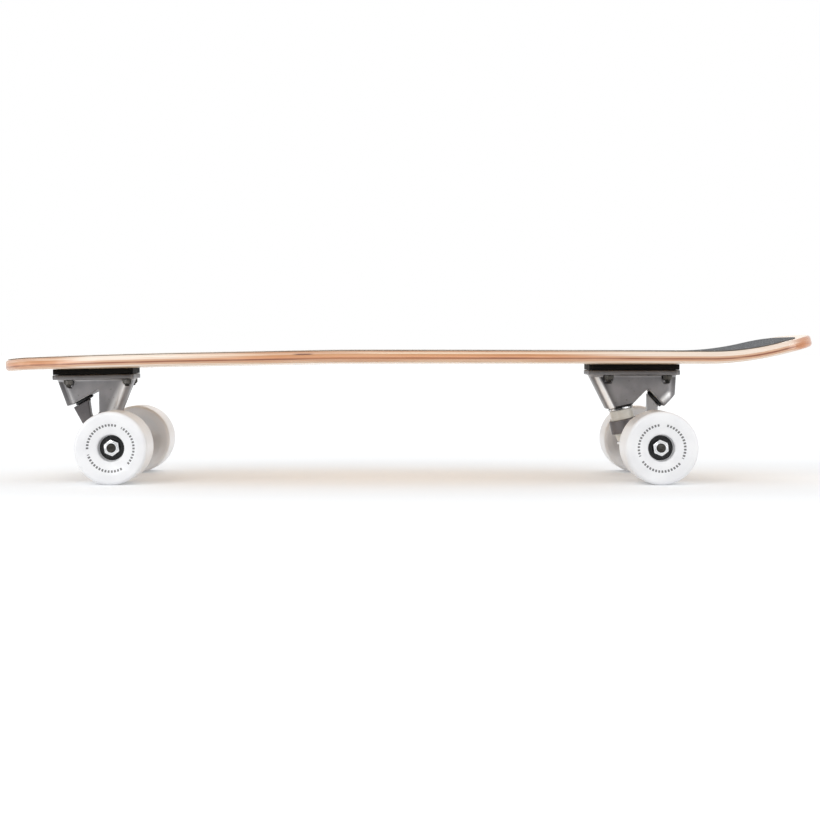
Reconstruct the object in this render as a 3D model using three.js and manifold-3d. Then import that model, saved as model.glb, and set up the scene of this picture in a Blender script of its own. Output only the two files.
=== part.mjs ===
// Surf skateboard: a pressed maple deck with a kick tail on two cast trucks.
// Millimetres. +X points to the tail, +Z up, and the origin is on the ground under the middle.
// The front truck turns about a steep axis and the rear one about a flatter axis.
import * as THREE from 'three';
import { mergeVertices } from 'three/addons/utils/BufferGeometryUtils.js';
import Module from 'manifold-3d';

const wasm = await Module();
wasm.setup();

// Fits
const fitGap = 0.3;
const overrun = 6;

// Facets
const fineSides = 24;
const roundSides = 16;
const axleSides = 12;
const smallSides = 8;
const hexSides = 6;
const cornerSteps = 3;
const noseStations = 7;
const middleStations = 7;
const tailStations = 11;

// Deck
const wheelbase = 482;
const noseOverhang = 111;
const tailOverhang = 145.5;
const deckWidth = 241.3;
const deckThickness = 10.3;
const deckEdgeChamfer = 2.2;
const noseNarrowing = 26;
const tailNarrowing = 47.4;
const noseRound = 178;
const tailRound = 43.6;
const widestFromMiddle = 40;
const noseTipHalfWidth = 9;
const tailTipHalfWidth = 34;
const noseSquareness = 2.3;
const tailSquareness = 3.45;
const railRise = 2.2;
const flatHalfWidth = 34;
const frontDropAngle = 1.05;
const frontBendLength = 60;
const frontBendFromAxle = 193.5;
const noseDropAngle = 3.4;
const noseBendLength = 14;
const noseBendFromTip = 23.5;
const kickAngle = 14;
const kickBendLength = 61.2;
const kickBendFromTip = 70.6;
const flatShare = 0.34;
const crossShares = [-0.95, -0.68, -flatShare, 0, flatShare, 0.68, 0.95];

// Grip tape
const gripThickness = 0.6;
const gripInset = 2.4;
const gripShortOfTail = 12;

// Risers and mounting hardware
const riserThickness = 5;
const riserShrink = 0.4;
const boltPatternLength = 53.98;
const boltPatternWidth = 41.3;
const boltDiameter = 4.8;
const boltStickOut = 1.6;
const boltHeadDiameter = 9.2;
const boltHeadHeight = 2.6;
const boltNutFlats = 8;
const boltNutHeight = 4.8;
const nutPocketMargin = 0.9;

// Axles and wheels
const axleDiameter = 8;
const axleEndChamfer = 0.8;
const hangerWidth = 152;
const speedWasherThickness = 1;
const speedWasherDiameter = 12;
const wheelDiameter = 65;
const wheelWidth = 51;
const wheelLip = 7.4;
const wheelCrownRadius = 25;
const wheelDishDepth = 3.4;
const wheelMouthRadius = 13;
const wheelMouthTaper = 0.9;
const bearingDiameter = 22;
const bearingWidth = 7;
const bearingShieldRadius = 6.5;
const innerRingRadius = 5.9;
const spacerLength = 10;
const wheelShoulder = 1.6;
const axleNutFlats = 12.7;
const axleNutHeight = 6;
const axleStickOut = 1.6;

// Baseplates
const plateThickness = 4.4;
const plateWidth = 56;
const plateCorner = 4.5;
const plateEdgeChamfer = 1;
const rearTruckHeight = 67.4;
const kingpinHeadPocket = 10;
const kingpinHeadPocketRadius = 9.4;

// Kingpins and bushings
const kingpinDiameter = 9.4;
const kingpinHeadFlats = 14.3;
const kingpinHeadHeight = 5.5;
const kingpinStickOut = 2.6;
const kingpinNutFlats = 14.3;
const kingpinNutHeight = 7.2;
const cupWasherThickness = 2.2;
const cupWasherRim = 0.9;
const cupWasherBoardRadius = 11.4;
const cupWasherRoadRadius = 9.9;
const bushingRadius = 10.9;
const bushingRoadEndRadius = 9.2;
const bushingBarrel = 0.7;
const bushingBore = 5.3;
const bushingRoadHeight = 11;
const ringWeb = 4.6;
const ringHoleRadius = 7.2;
const ringRadius = 15;
const ringRimHeight = 4;
const ringDrop = 18;
const seatWallGap = 0.7;
const swingSlot = 6.4;
const boardSwingSlot = 4.6;
const slotMargin = 1.2;

// Pivots
const cupOuterRadius = 8;
const cupFlangeRadius = 9;
const cupFlangeThickness = 1.8;
const cupDepth = 10;
const cupFloor = 1.6;
const noseRadius = 5.4;
const noseTipRadius = 4.2;
const noseDepth = 7.6;
const noseTip = 1.6;
const noseRoot = 1.5;

// Hangers
const crossbarEndRadius = 8.6;
const crossbarEndLength = 5;
const crossbarMidRadius = 11;
const crossbarMidHalf = 17;
const gussetThickness = 8;
const gussetHalfSpan = 47;
const gussetRingShare = 0.8;
const armClearance = 0.5;

// What differs between the trucks. X runs outward from the middle of the bolt pattern, and drops are
// measured down from the top face of the plate. Angles are in degrees.
const rearSizes = {
  axleFromPattern: 9.8,
  plateOuter: 38.1,
  plateInner: 46,
  bodyTopOuter: 36.8,
  bodyTopInner: 45.2,
  bodyFootOuter: 34.9,
  bodyFootInner: 27.7,
  bodyFootDrop: 37,
  bodyTopHalfWidth: 17.5,
  bodyFootHalfWidth: 15,
  bodyTopCorner: 11,
  bodyFootCorner: 6.5,
  seatX: -14.3,
  seatDrop: 33.9,
  seatLength: 20,
  kingpinTilt: 12.5,
  pivotX: 18.1,
  pivotDrop: 26.2,
  socketToApex: 12.4,
  socketToHeel: 9.7,
  heelAngle: 44.7,
  armInner: 8.6,
  armOuter: 6.4,
  armLean: -0.4,
  armDrop: 16,
  armHalfWidth: 6.2,
  ribReach: 13,
  ribHeight: 15,
  footShare: 1,
  footReach: 9.6,
  footDepth: 5,
};
const frontSizes = {
  axleFromPattern: -24.9,
  plateOuter: 41.2,
  plateInner: 33.6,
  bodyTopOuter: 40.2,
  bodyTopInner: 33,
  bodyFootOuter: 25.9,
  bodyFootInner: 15.8,
  bodyFootDrop: 43,
  bodyTopHalfWidth: 17,
  bodyFootHalfWidth: 13.5,
  bodyTopCorner: 11,
  bodyFootCorner: 6,
  seatX: -8,
  seatDrop: 38.8,
  seatLength: 18,
  kingpinTilt: 21,
  pivotX: 16.1,
  pivotDrop: 22.6,
  socketToApex: 18.2,
  socketToHeel: 7.6,
  heelAngle: -20,
  armInner: 4.4,
  armOuter: 11.5,
  armLean: -1.5,
  armDrop: 13,
  armHalfWidth: 6.6,
  ribReach: 13,
  ribHeight: 9,
  footShare: 0,
  footReach: 17.5,
  footDepth: 5,
};

// Colours and finishes
const finishes = {
  maple: [0xe8c39a, 0.55, 0],
  grip: [0x4f5255, 0.95, 0],
  riser: [0x141314, 0.7, 0],
  casting: [0x7f7b7b, 0.42, 0.85],
  hanger: [0x5f5b5c, 0.45, 0.85],
  steel: [0xc4c5c8, 0.25, 1],
  darkSteel: [0x3a3a3d, 0.4, 0.9],
  cup: [0x101011, 0.6, 0],
  bushing: [0xb9b5a8, 0.5, 0],
  urethane: [0xf3f3f5, 0.35, 0],
  shield: [0x161618, 0.35, 0.4],
};

// Worked out from the sizes above
const degree = Math.PI / 180;
const axleHeight = (wheelDiameter / 2) * Math.cos(Math.PI / fineSides);
const deckLength = noseOverhang + wheelbase + tailOverhang;
const frontAxleX = noseOverhang - deckLength / 2;
const rearAxleX = frontAxleX + wheelbase;
const rearPatternX = rearAxleX - rearSizes.axleFromPattern;
const frontPatternX = frontAxleX + frontSizes.axleFromPattern;
const riserStack = riserThickness + 2 * fitGap;
const deckFront = -deckLength / 2;
const deckBack = deckLength / 2 - deckThickness * Math.sin(kickAngle * degree);
const kickStart = deckLength / 2 - kickBendFromTip - kickBendLength / 2;
const flatTop = axleHeight + rearTruckHeight + riserStack + deckThickness;
const wheelCentreY = hangerWidth / 2 + speedWasherThickness + bearingWidth + spacerLength / 2;
const bearingOuterFace = spacerLength / 2 + bearingWidth;
const armGap = fitGap + cupFlangeThickness + armClearance;
const boardStack = cupWasherThickness + 2 * fitGap;
const roadStack = ringDrop + ringWeb / 2 + fitGap + bushingRoadHeight + fitGap;
const kingpinNutTop = roadStack + cupWasherThickness + fitGap;
const kingpinLength = kingpinNutTop + kingpinNutHeight + kingpinStickOut;

function material(name) {
  const [color, roughness, metalness] = finishes[name];
  return new THREE.MeshStandardMaterial({ color, roughness, metalness });
}

function mesh(name, geometry, finish) {
  const made = new THREE.Mesh(geometry, material(finish));
  made.name = name;
  return made;
}

// A closed geometry as a solid that can be joined and cut
function solid(geometry) {
  const bare = geometry.clone();
  bare.deleteAttribute('normal');
  bare.deleteAttribute('uv');
  const merged = mergeVertices(bare);
  const corners = Array.from(merged.index.array);
  const triangles = [];
  for (let i = 0; i < corners.length; i += 3) {
    const [a, b, c] = corners.slice(i, i + 3);
    if (a !== b && b !== c && c !== a) triangles.push(a, b, c);
  }
  const vertProperties = merged.attributes.position.array;
  return new wasm.Manifold(new wasm.Mesh({ numProp: 3, vertProperties, triVerts: Uint32Array.from(triangles) }));
}

function geometryOf(body) {
  const { vertProperties, triVerts } = body.getMesh();
  const geometry = new THREE.BufferGeometry();
  geometry.setAttribute('position', new THREE.BufferAttribute(vertProperties, 3));
  geometry.setIndex(new THREE.BufferAttribute(triVerts, 1));
  geometry.computeVertexNormals();
  return geometry;
}

function cut(geometry, tools) {
  return geometryOf(tools.reduce((body, tool) => body.subtract(solid(tool)), solid(geometry)));
}

function join(geometries) {
  return geometryOf(geometries.map(solid).reduce((all, one) => all.add(one)));
}

// A turned solid about Z, from points of radius and height listed up its outside
function turned(points, sides) {
  const profile = points.map(([radius, height]) => new THREE.Vector2(radius, height));
  return new THREE.LatheGeometry(profile, sides).rotateX(Math.PI / 2);
}

function rod(radius, bottom, top, sides) {
  return turned([[0, bottom], [radius, bottom], [radius, top], [0, top]], sides);
}

function tube(inner, outer, bottom, top, sides) {
  return turned([[inner, bottom], [outer, bottom], [outer, top], [inner, top], [inner, bottom]], sides);
}

// A prism on six flats about Z
function hexPrism(flats, bottom, top) {
  const radius = flats / Math.sqrt(3);
  return rod(radius, bottom, top, hexSides);
}

function shapeOf(points) {
  return new THREE.Shape(points.map(([x, y]) => new THREE.Vector2(x, y)));
}

// An outline drawn in X and Z, spread evenly to both sides along Y
function sideSolid(points, halfWidth) {
  const settings = { depth: 2 * halfWidth, bevelEnabled: false };
  return new THREE.ExtrudeGeometry(shapeOf(points), settings).rotateX(Math.PI / 2).translate(0, halfWidth, 0);
}

// An outline drawn in X and Y, raised from one height to another
function planSolid(points, bottom, top) {
  const settings = { depth: top - bottom, bevelEnabled: false };
  return new THREE.ExtrudeGeometry(shapeOf(points), settings).translate(0, 0, bottom);
}

// The corner points of a rectangle with round corners, anticlockwise
function roundedRectangle(left, right, halfWidth, corner) {
  const centres = [
    [right - corner, halfWidth - corner, 0],
    [left + corner, halfWidth - corner, 1],
    [left + corner, corner - halfWidth, 2],
    [right - corner, corner - halfWidth, 3],
  ];
  return centres.flatMap(([x, y, quarter]) => Array.from({ length: cornerSteps + 1 }, (_, step) => {
    const angle = (quarter + step / cornerSteps) * Math.PI / 2;
    return [x + corner * Math.cos(angle), y + corner * Math.sin(angle)];
  }));
}

// A closed solid through like outlines, each a list of X and Y at its own height, listed from the bottom up
function loft(levels) {
  const count = levels[0].outline.length;
  const positions = levels.flatMap(({ outline, height }) => outline.flatMap(([x, y]) => [x, y, height]));
  const faces = [];
  for (let level = 0; level + 1 < levels.length; level += 1) {
    for (let i = 0; i < count; i += 1) {
      const a = level * count + i;
      const b = level * count + (i + 1) % count;
      faces.push(a, b, b + count, a, b + count, a + count);
    }
  }
  const last = (levels.length - 1) * count;
  for (let i = 1; i + 1 < count; i += 1) {
    faces.push(0, i + 1, i, last, last + i, last + i + 1);
  }
  return surface(positions, faces);
}

function surface(positions, faces) {
  const geometry = new THREE.BufferGeometry();
  geometry.setAttribute('position', new THREE.Float32BufferAttribute(positions, 3));
  geometry.setIndex(faces);
  geometry.computeVertexNormals();
  return geometry;
}

// Turns a solid made about Z so that Z points along a direction, with its origin at a point
function aim(geometry, point, direction) {
  const turn = new THREE.Quaternion().setFromUnitVectors(new THREE.Vector3(0, 0, 1), direction);
  return geometry.applyQuaternion(turn).translate(point.x, point.y, point.z);
}

// Height and slope of the deck's top along its length

// The rise that one bend adds: none before it, a smooth curve through it, a straight slope after it
function bendRise(distance, length, angle) {
  const slope = Math.tan(angle * degree);
  if (distance <= 0) return 0;
  if (distance < length) return slope * distance * distance / (2 * length);
  return slope * (distance - length / 2);
}

function deckTop(x) {
  const frontStart = frontAxleX + frontBendFromAxle + frontBendLength / 2;
  const noseStart = noseBendFromTip - deckLength / 2 + noseBendLength / 2;
  const front = bendRise(frontStart - x, frontBendLength, frontDropAngle);
  const nose = bendRise(noseStart - x, noseBendLength, noseDropAngle);
  const kick = bendRise(x - kickStart, kickBendLength, kickAngle);
  return flatTop - front - nose + kick;
}

function deckSlope(x) {
  const step = deckEdgeChamfer / 10;
  return Math.atan2(deckTop(x + step) - deckTop(x - step), 2 * step);
}

// Half of the deck's width along its length
function deckHalfWidth(x) {
  const tailStart = deckBack - tailRound;
  const ahead = x < -widestFromMiddle;
  const narrowing = ahead ? noseNarrowing : tailNarrowing;
  const fromWidest = (x + widestFromMiddle) / ((ahead ? deckFront : tailStart) + widestFromMiddle);
  const body = (deckWidth - narrowing * fromWidest * fromWidest) / 2;
  const noseShare = Math.min(Math.max((deckFront + noseRound - x) / noseRound, 0), 1);
  const tailShare = Math.min(Math.max((x - tailStart) / tailRound, 0), 1);
  const nose = Math.sqrt(1 - noseShare ** noseSquareness);
  const tail = Math.sqrt(1 - tailShare ** tailSquareness);
  const front = noseTipHalfWidth + (body - noseTipHalfWidth) * nose;
  return tailTipHalfWidth + (front - tailTipHalfWidth) * tail;
}

// The upward curl towards the rails, flat under the trucks
function concave(y) {
  const share = Math.max(Math.abs(y) - flatHalfWidth, 0) / (deckWidth / 2 - flatHalfWidth);
  return railRise * share * share;
}

// Places along the deck, closer together where the outline turns in
function stations() {
  const nose = Array.from({ length: noseStations }, (_, i) => {
    const angle = i / noseStations * Math.PI / 2;
    return deckFront + noseRound * (1 - Math.cos(angle));
  });
  const tail = Array.from({ length: tailStations }, (_, i) => {
    const angle = (1 - (i + 1) / tailStations) * Math.PI / 2;
    return deckBack - (deckBack - kickStart) * (1 - Math.cos(angle));
  });
  const start = deckFront + noseRound;
  const span = kickStart - start;
  const middle = Array.from({ length: middleStations + 1 }, (_, i) => start + span * i / middleStations);
  return [...nose, ...middle, ...tail];
}

function clampTo(value, limit) {
  return Math.min(Math.max(value, -limit), limit);
}

// A sheet that follows the deck between two heights over its top, drawn in from the outline
function deckSheet(bottom, top, inset, chamfer, shortOfTail = 0) {
  const tailStart = deckBack - tailRound;
  const columns = stations();
  const ring = [];
  crossShares.forEach((share) => ring.push([share, top, 1]));
  ring.push([1, top - chamfer, 0], [1, bottom + chamfer, 0]);
  [...crossShares].reverse().forEach((share) => ring.push([share, bottom, 1]));
  ring.push([-1, bottom + chamfer, 0], [-1, top - chamfer, 0]);
  const inner = Math.max(...crossShares);
  const positions = columns.flatMap((x) => {
    const level = x * (1 - 2 * inset / deckLength);
    const place = level - shortOfTail * Math.max(level - tailStart, 0) / tailRound;
    const slope = deckSlope(place);
    const halfWidth = deckHalfWidth(x) - inset;
    return ring.flatMap(([share, height, drawnIn]) => {
      const spread = drawnIn ? (share / inner) * (halfWidth - chamfer) : share * halfWidth;
      const y = share === flatShare || share === -flatShare ? clampTo(spread, flatHalfWidth) : spread;
      const z = deckTop(place) + concave(y);
      return [place - height * Math.sin(slope), y, z + height * Math.cos(slope)];
    });
  });
  const count = ring.length;
  const faces = [];
  for (let column = 0; column + 1 < columns.length; column += 1) {
    for (let i = 0; i < count; i += 1) {
      const a = column * count + i;
      const b = column * count + (i + 1) % count;
      faces.push(a, a + count, b, b, a + count, b + count);
    }
  }
  const last = (columns.length - 1) * count;
  endFaces(count).forEach(([a, b, c]) => faces.push(a, b, c, last + a, last + c, last + b));
  return surface(positions, faces);
}

// Triangles over a flat end: strips between the upper and lower rows of points
function endFaces(count) {
  const across = crossShares.length;
  const upper = Array.from({ length: across }, (_, i) => i);
  const lower = upper.map((i) => 2 * across + 1 - i);
  const faces = [];
  for (let i = 0; i + 1 < across; i += 1) {
    faces.push([upper[i], upper[i + 1], lower[i + 1]], [upper[i], lower[i + 1], lower[i]]);
  }
  const far = across - 1;
  faces.push([upper[far], across, across + 1], [upper[far], across + 1, lower[far]]);
  faces.push([upper[0], lower[0], count - 2], [upper[0], count - 2, count - 1]);
  return faces;
}

// The frame of one truck: its own axes, and the deck plane that it hangs from
function truckFrame(sizes, patternX, outward) {
  const tilt = deckSlope(patternX);
  const group = new THREE.Group();
  const drop = riserStack + deckThickness;
  group.position.set(patternX + drop * Math.sin(tilt), 0, deckTop(patternX) - drop * Math.cos(tilt));
  group.rotation.set(0, -tilt, outward < 0 ? Math.PI : 0, 'YZX');
  group.updateMatrixWorld(true);
  const axleX = outward < 0 ? frontAxleX : rearAxleX;
  const axle = group.worldToLocal(new THREE.Vector3(axleX, 0, axleHeight));
  return { sizes, group, axle, ...truckGeometry(sizes) };
}

// The named points and directions of one truck, in its own axes
function truckGeometry(sizes) {
  const lean = sizes.kingpinTilt * degree;
  const seat = new THREE.Vector3(sizes.seatX, 0, -sizes.seatDrop);
  const kingpinUp = new THREE.Vector3(-Math.sin(lean), 0, Math.cos(lean));
  const across = new THREE.Vector3(Math.cos(lean), 0, Math.sin(lean));
  const ring = seat.clone().addScaledVector(kingpinUp, -ringDrop);
  const pivot = new THREE.Vector3(sizes.pivotX, 0, -sizes.pivotDrop);
  const steer = pivot.clone().sub(ring).normalize();
  const socketUp = new THREE.Vector3(-steer.z, 0, steer.x);
  return { seat, kingpinUp, across, ring, pivot, steer, socketUp };
}

function moved(point, ...steps) {
  const result = point.clone();
  steps.forEach(([direction, distance]) => result.addScaledVector(direction, distance));
  return result;
}

function flat(point) {
  return [point.x, point.z];
}

// Bolt places in a truck's own axes
function boltPlaces() {
  const x = boltPatternLength / 2;
  const y = boltPatternWidth / 2;
  return [[x, -y], [x, y], [-x, -y], [-x, y]];
}

function rodAt(x, y, radius, bottom, top) {
  return rod(radius, bottom, top, smallSides).translate(x, y, 0);
}

function riserPad(frame) {
  const { plateOuter, plateInner } = frame.sizes;
  const outline = roundedRectangle(riserShrink - plateInner, plateOuter - riserShrink,
    plateWidth / 2 - riserShrink, plateCorner);
  const slab = planSolid(outline, fitGap, fitGap + riserThickness);
  const radius = boltDiameter / 2 + fitGap;
  const holes = boltPlaces().map(([x, y]) => rodAt(x, y, radius, -overrun, riserStack + overrun));
  return cut(slab, holes);
}

function plateSlab({ plateOuter, plateInner }) {
  const level = (inset, height) => ({
    outline: roundedRectangle(inset - plateInner, plateOuter - inset, plateWidth / 2 - inset, plateCorner - inset),
    height,
  });
  return loft([
    level(plateEdgeChamfer, -plateThickness),
    level(0, plateEdgeChamfer - plateThickness),
    level(0, 0),
  ]);
}

// The block under the plate, tapering down with round upright corners
function bodyBlock(sizes) {
  const foot = roundedRectangle(-sizes.bodyFootInner, sizes.bodyFootOuter,
    sizes.bodyFootHalfWidth, sizes.bodyFootCorner);
  const head = roundedRectangle(-sizes.bodyTopInner, sizes.bodyTopOuter,
    sizes.bodyTopHalfWidth, sizes.bodyTopCorner);
  return loft([
    { outline: foot, height: -sizes.bodyFootDrop },
    { outline: head, height: -plateThickness / 2 },
  ]);
}

// What is cut away below the seat, through the notch and under the heel of the pivot socket
function notchSolid(frame) {
  const { sizes, seat, across, pivot, socketUp } = frame;
  const reach = sizes.plateOuter + sizes.plateInner;
  const heelTurn = sizes.heelAngle * degree;
  const heelDirection = new THREE.Vector3(Math.cos(heelTurn), 0, Math.sin(heelTurn));
  const seatInner = moved(seat, [across, -sizes.seatLength / 2]);
  const seatOuter = moved(seat, [across, sizes.seatLength / 2]);
  const apex = moved(pivot, [socketUp, sizes.socketToApex]);
  const heel = moved(pivot, [socketUp, -sizes.socketToHeel]);
  const heelEnd = moved(heel, [heelDirection, overrun + sizes.bodyTopOuter - heel.x]);
  return sideSolid([
    [-reach, -reach],
    [reach, -reach],
    [reach, heelEnd.z],
    flat(heelEnd),
    flat(heel),
    flat(apex),
    flat(seatOuter),
    flat(seatInner),
    [-reach, seatInner.z],
  ], plateWidth);
}

function nutPocket(x, y, drop) {
  const radius = boltNutFlats / Math.sqrt(3) + nutPocketMargin;
  return rod(radius, -drop, -plateThickness, smallSides).translate(x, y, 0);
}

function baseplate(frame) {
  const { sizes, seat, kingpinUp, pivot, steer } = frame;
  const pocketDrop = plateThickness + fitGap + boltNutHeight + boltStickOut + nutPocketMargin;
  const body = solid(bodyBlock(sizes))
    .subtract(solid(notchSolid(frame)));
  const pockets = boltPlaces().map(([x, y]) => solid(nutPocket(x, y, pocketDrop)));
  const holes = boltPlaces().map(([x, y]) => {
    return solid(rodAt(x, y, boltDiameter / 2 + fitGap, -plateThickness - overrun, overrun));
  });
  const headFloor = headSeatDistance(sizes);
  const bore = rod(kingpinDiameter / 2 + fitGap, -overrun, headFloor + overrun, roundSides);
  const pocket = rod(kingpinHeadPocketRadius, headFloor, headFloor + kingpinHeadPocket + 2 * overrun, roundSides);
  const socket = rod(cupOuterRadius + fitGap, -overrun, cupDepth + fitGap, roundSides);
  const cast = pockets.reduce((all, one) => all.subtract(one), body).add(solid(plateSlab(sizes)));
  const drilled = holes.reduce((all, one) => all.subtract(one), cast)
    .subtract(solid(aim(bore, seat, kingpinUp)))
    .subtract(solid(aim(pocket, seat, kingpinUp)))
    .subtract(solid(aim(socket, pivot, steer)));
  return geometryOf(drilled);
}

// From the seat up the kingpin to the floor of the pocket that holds its head
function headSeatDistance(sizes) {
  return sizes.seatDrop / Math.cos(sizes.kingpinTilt * degree) - kingpinHeadPocket;
}

// Kingpin pieces are made about Z with the seat at zero, and go down from there
function kingpin(sizes) {
  const floor = headSeatDistance(sizes) + fitGap;
  const radius = kingpinDiameter / 2;
  const shank = turned([
    [0, -kingpinLength],
    [radius - axleEndChamfer, -kingpinLength],
    [radius, axleEndChamfer - kingpinLength],
    [radius, floor + kingpinHeadHeight / 2],
    [0, floor + kingpinHeadHeight / 2],
  ], roundSides);
  return join([shank, hexPrism(kingpinHeadFlats, floor, floor + kingpinHeadHeight)]);
}

function kingpinNut() {
  const bore = rod(kingpinDiameter / 2 + fitGap, -kingpinLength - overrun, overrun, roundSides);
  return cut(hexPrism(kingpinNutFlats, -kingpinNutTop - kingpinNutHeight, -kingpinNutTop), [bore]);
}

// A washer with a raised rim that keeps a bushing centred. The rim points down, towards the bushing
function cupWasher(radius, rimSide) {
  const half = cupWasherThickness / 2;
  const hole = kingpinDiameter / 2 + fitGap;
  const points = [
    [hole, 0],
    [radius, 0],
    [radius, -cupWasherThickness],
    [radius - cupWasherRim, -cupWasherThickness],
    [radius - cupWasherRim, -half],
    [hole, -half],
    [hole, 0],
  ];
  const listed = rimSide > 0 ? points.map(([r, z]) => [r, -z]) : [...points].reverse();
  return turned(listed, roundSides);
}

function bushingBoard() {
  const top = -boardStack + cupWasherThickness / 2;
  const bottom = -ringDrop + ringWeb / 2 + fitGap;
  const neck = bushingRadius - cupWasherRim;
  const rim = -boardStack;
  return turned([
    [bushingBore, bottom],
    [bushingRadius - bushingBarrel, bottom],
    [bushingRadius, bottom + bushingBarrel],
    [bushingRadius, rim - bushingBarrel],
    [neck, rim],
    [neck, top],
    [bushingBore, top],
    [bushingBore, bottom],
  ], roundSides);
}

function bushingRoad() {
  const top = -ringDrop - ringWeb / 2 - fitGap;
  const rim = -roadStack + fitGap;
  const bottom = rim - cupWasherThickness / 2;
  const neck = cupWasherRoadRadius - 2 * cupWasherRim;
  return turned([
    [bushingBore, bottom],
    [neck, bottom],
    [neck, rim],
    [bushingRoadEndRadius, rim + bushingBarrel],
    [bushingRadius, top - bushingBarrel],
    [bushingRadius - bushingBarrel, top],
    [bushingBore, top],
    [bushingBore, bottom],
  ], roundSides);
}

// A urethane cup open towards the hanger, its flange outside the socket
function pivotCup() {
  const bore = noseRadius + fitGap;
  return turned([
    [0, cupDepth - cupFloor],
    [bore, cupDepth - cupFloor],
    [bore, -fitGap - cupFlangeThickness],
    [cupFlangeRadius, -fitGap - cupFlangeThickness],
    [cupFlangeRadius, -fitGap],
    [cupOuterRadius, -fitGap],
    [cupOuterRadius, cupDepth],
    [0, cupDepth],
  ], roundSides);
}

// The round nose on the end of the hanger's arm that turns in the pivot cup
function pivotNose() {
  return turned([
    [0, -armGap - noseRoot],
    [noseRadius, -armGap - noseRoot],
    [noseRadius, noseDepth - noseTip - fitGap],
    [noseTipRadius, noseDepth - fitGap],
    [0, noseDepth - fitGap],
  ], roundSides);
}

function crossbar(axle) {
  const half = hangerWidth / 2;
  const points = [
    [0, -half],
    [crossbarEndRadius - axleEndChamfer, -half],
    [crossbarEndRadius, axleEndChamfer - half],
    [crossbarEndRadius, crossbarEndLength - half],
    [crossbarMidRadius, -crossbarMidHalf],
  ];
  const mirrored = [...points].reverse().map(([radius, height]) => [radius, -height]);
  return turned([...points, ...mirrored], roundSides).rotateX(-Math.PI / 2).translate(axle.x, 0, axle.z);
}

// The three-cornered web that spreads the load from the ring to the crossbar
function gusset({ ring, axle }) {
  const reach = axle.clone().sub(ring);
  const length = reach.length();
  const root = ringRadius * gussetRingShare;
  const outline = [[0, -root], [length, -gussetHalfSpan], [length, gussetHalfSpan], [0, root]];
  return planSolid(outline, -gussetThickness / 2, gussetThickness / 2)
    .rotateY(-Math.atan2(reach.z, reach.x))
    .translate(ring.x, 0, ring.z);
}

// The arm from the pivot nose down to the ring and the axle, with the rib beside the bushing
function arm(frame) {
  const { sizes, pivot, steer, socketUp, ring, axle, kingpinUp, across } = frame;
  const top = moved(pivot, [steer, -armGap]);
  const topInner = moved(top, [socketUp, sizes.armInner]);
  const topOuter = moved(top, [socketUp, -sizes.armOuter]);
  const crotch = [topInner.x + sizes.armLean, topInner.z - sizes.armDrop];
  const ribTop = moved(ring, [across, sizes.ribReach], [kingpinUp, sizes.ribHeight]);
  const foot = ring.clone().lerp(axle, sizes.footShare);
  const footInner = moved(foot, [kingpinUp, -sizes.footDepth]);
  const footOuter = moved(foot, [across, sizes.footReach]);
  return sideSolid([
    flat(topOuter),
    flat(topInner),
    crotch,
    flat(ribTop),
    flat(ring),
    flat(footInner),
    flat(footOuter),
  ], sizes.armHalfWidth);
}

// Room for a round piece that swings sideways: a slot with round ends
function swingRoom(radius, swing, bottom, top) {
  const ends = [-swing, swing].map((y) => rod(radius, bottom, top, roundSides).translate(0, y, 0));
  const across = planSolid([[-radius, -swing], [radius, -swing], [radius, swing], [-radius, swing]], bottom, top);
  return join([...ends, across]);
}

function hanger(frame) {
  const { ring, kingpinUp, axle, pivot, steer } = frame;
  const half = ringWeb / 2;
  const rim = half + ringRimHeight;
  const atRing = (geometry) => solid(aim(geometry, ring, kingpinUp));
  const hub = rod(ringRadius, -rim, rim, roundSides);
  const bore = rod(ringHoleRadius, -rim - overrun, rim + overrun, roundSides);
  const boardRoom = swingRoom(bushingRadius + slotMargin, boardSwingSlot, half + ringRimHeight, ringDrop + overrun);
  const roadRoom = swingRoom(cupWasherRoadRadius + slotMargin / 2, swingSlot, -kingpinLength, -rim);
  const boardCup = rod(bushingRadius + seatWallGap, half, rim + overrun, roundSides);
  const roadCup = rod(bushingRadius + seatWallGap, -rim - overrun, -half, roundSides);
  const axleBore = rod(axleDiameter / 2 + fitGap, -hangerWidth, hangerWidth, roundSides)
    .rotateX(Math.PI / 2).translate(axle.x, 0, axle.z);
  const nose = aim(pivotNose(), pivot, steer);
  return geometryOf(solid(arm(frame))
    .add(solid(gusset(frame)))
    .add(atRing(hub))
    .subtract(atRing(boardRoom))
    .add(solid(crossbar(axle)))
    .subtract(atRing(roadRoom))
    .subtract(atRing(boardCup))
    .subtract(atRing(roadCup))
    .subtract(atRing(bore))
    .subtract(solid(axleBore))
    .add(solid(nose)));
}

// The axle with the two inner speed washers on it as collars
function axleRod() {
  const radius = axleDiameter / 2;
  const end = axleTip();
  const washer = hangerWidth / 2 + fitGap;
  const washerTop = hangerWidth / 2 + speedWasherThickness;
  const points = [
    [0, -end],
    [radius - axleEndChamfer, -end],
    [radius, axleEndChamfer - end],
    [radius, -washerTop],
    [speedWasherDiameter / 2, -washerTop],
    [speedWasherDiameter / 2, -washer],
    [radius, -washer],
  ];
  const mirrored = [...points].reverse().map(([r, height]) => [r, -height]);
  return turned([...points, ...mirrored], axleSides).rotateX(-Math.PI / 2);
}

function axleTip() {
  return wheelCentreY + bearingOuterFace + speedWasherThickness + axleNutHeight + axleStickOut;
}

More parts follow.
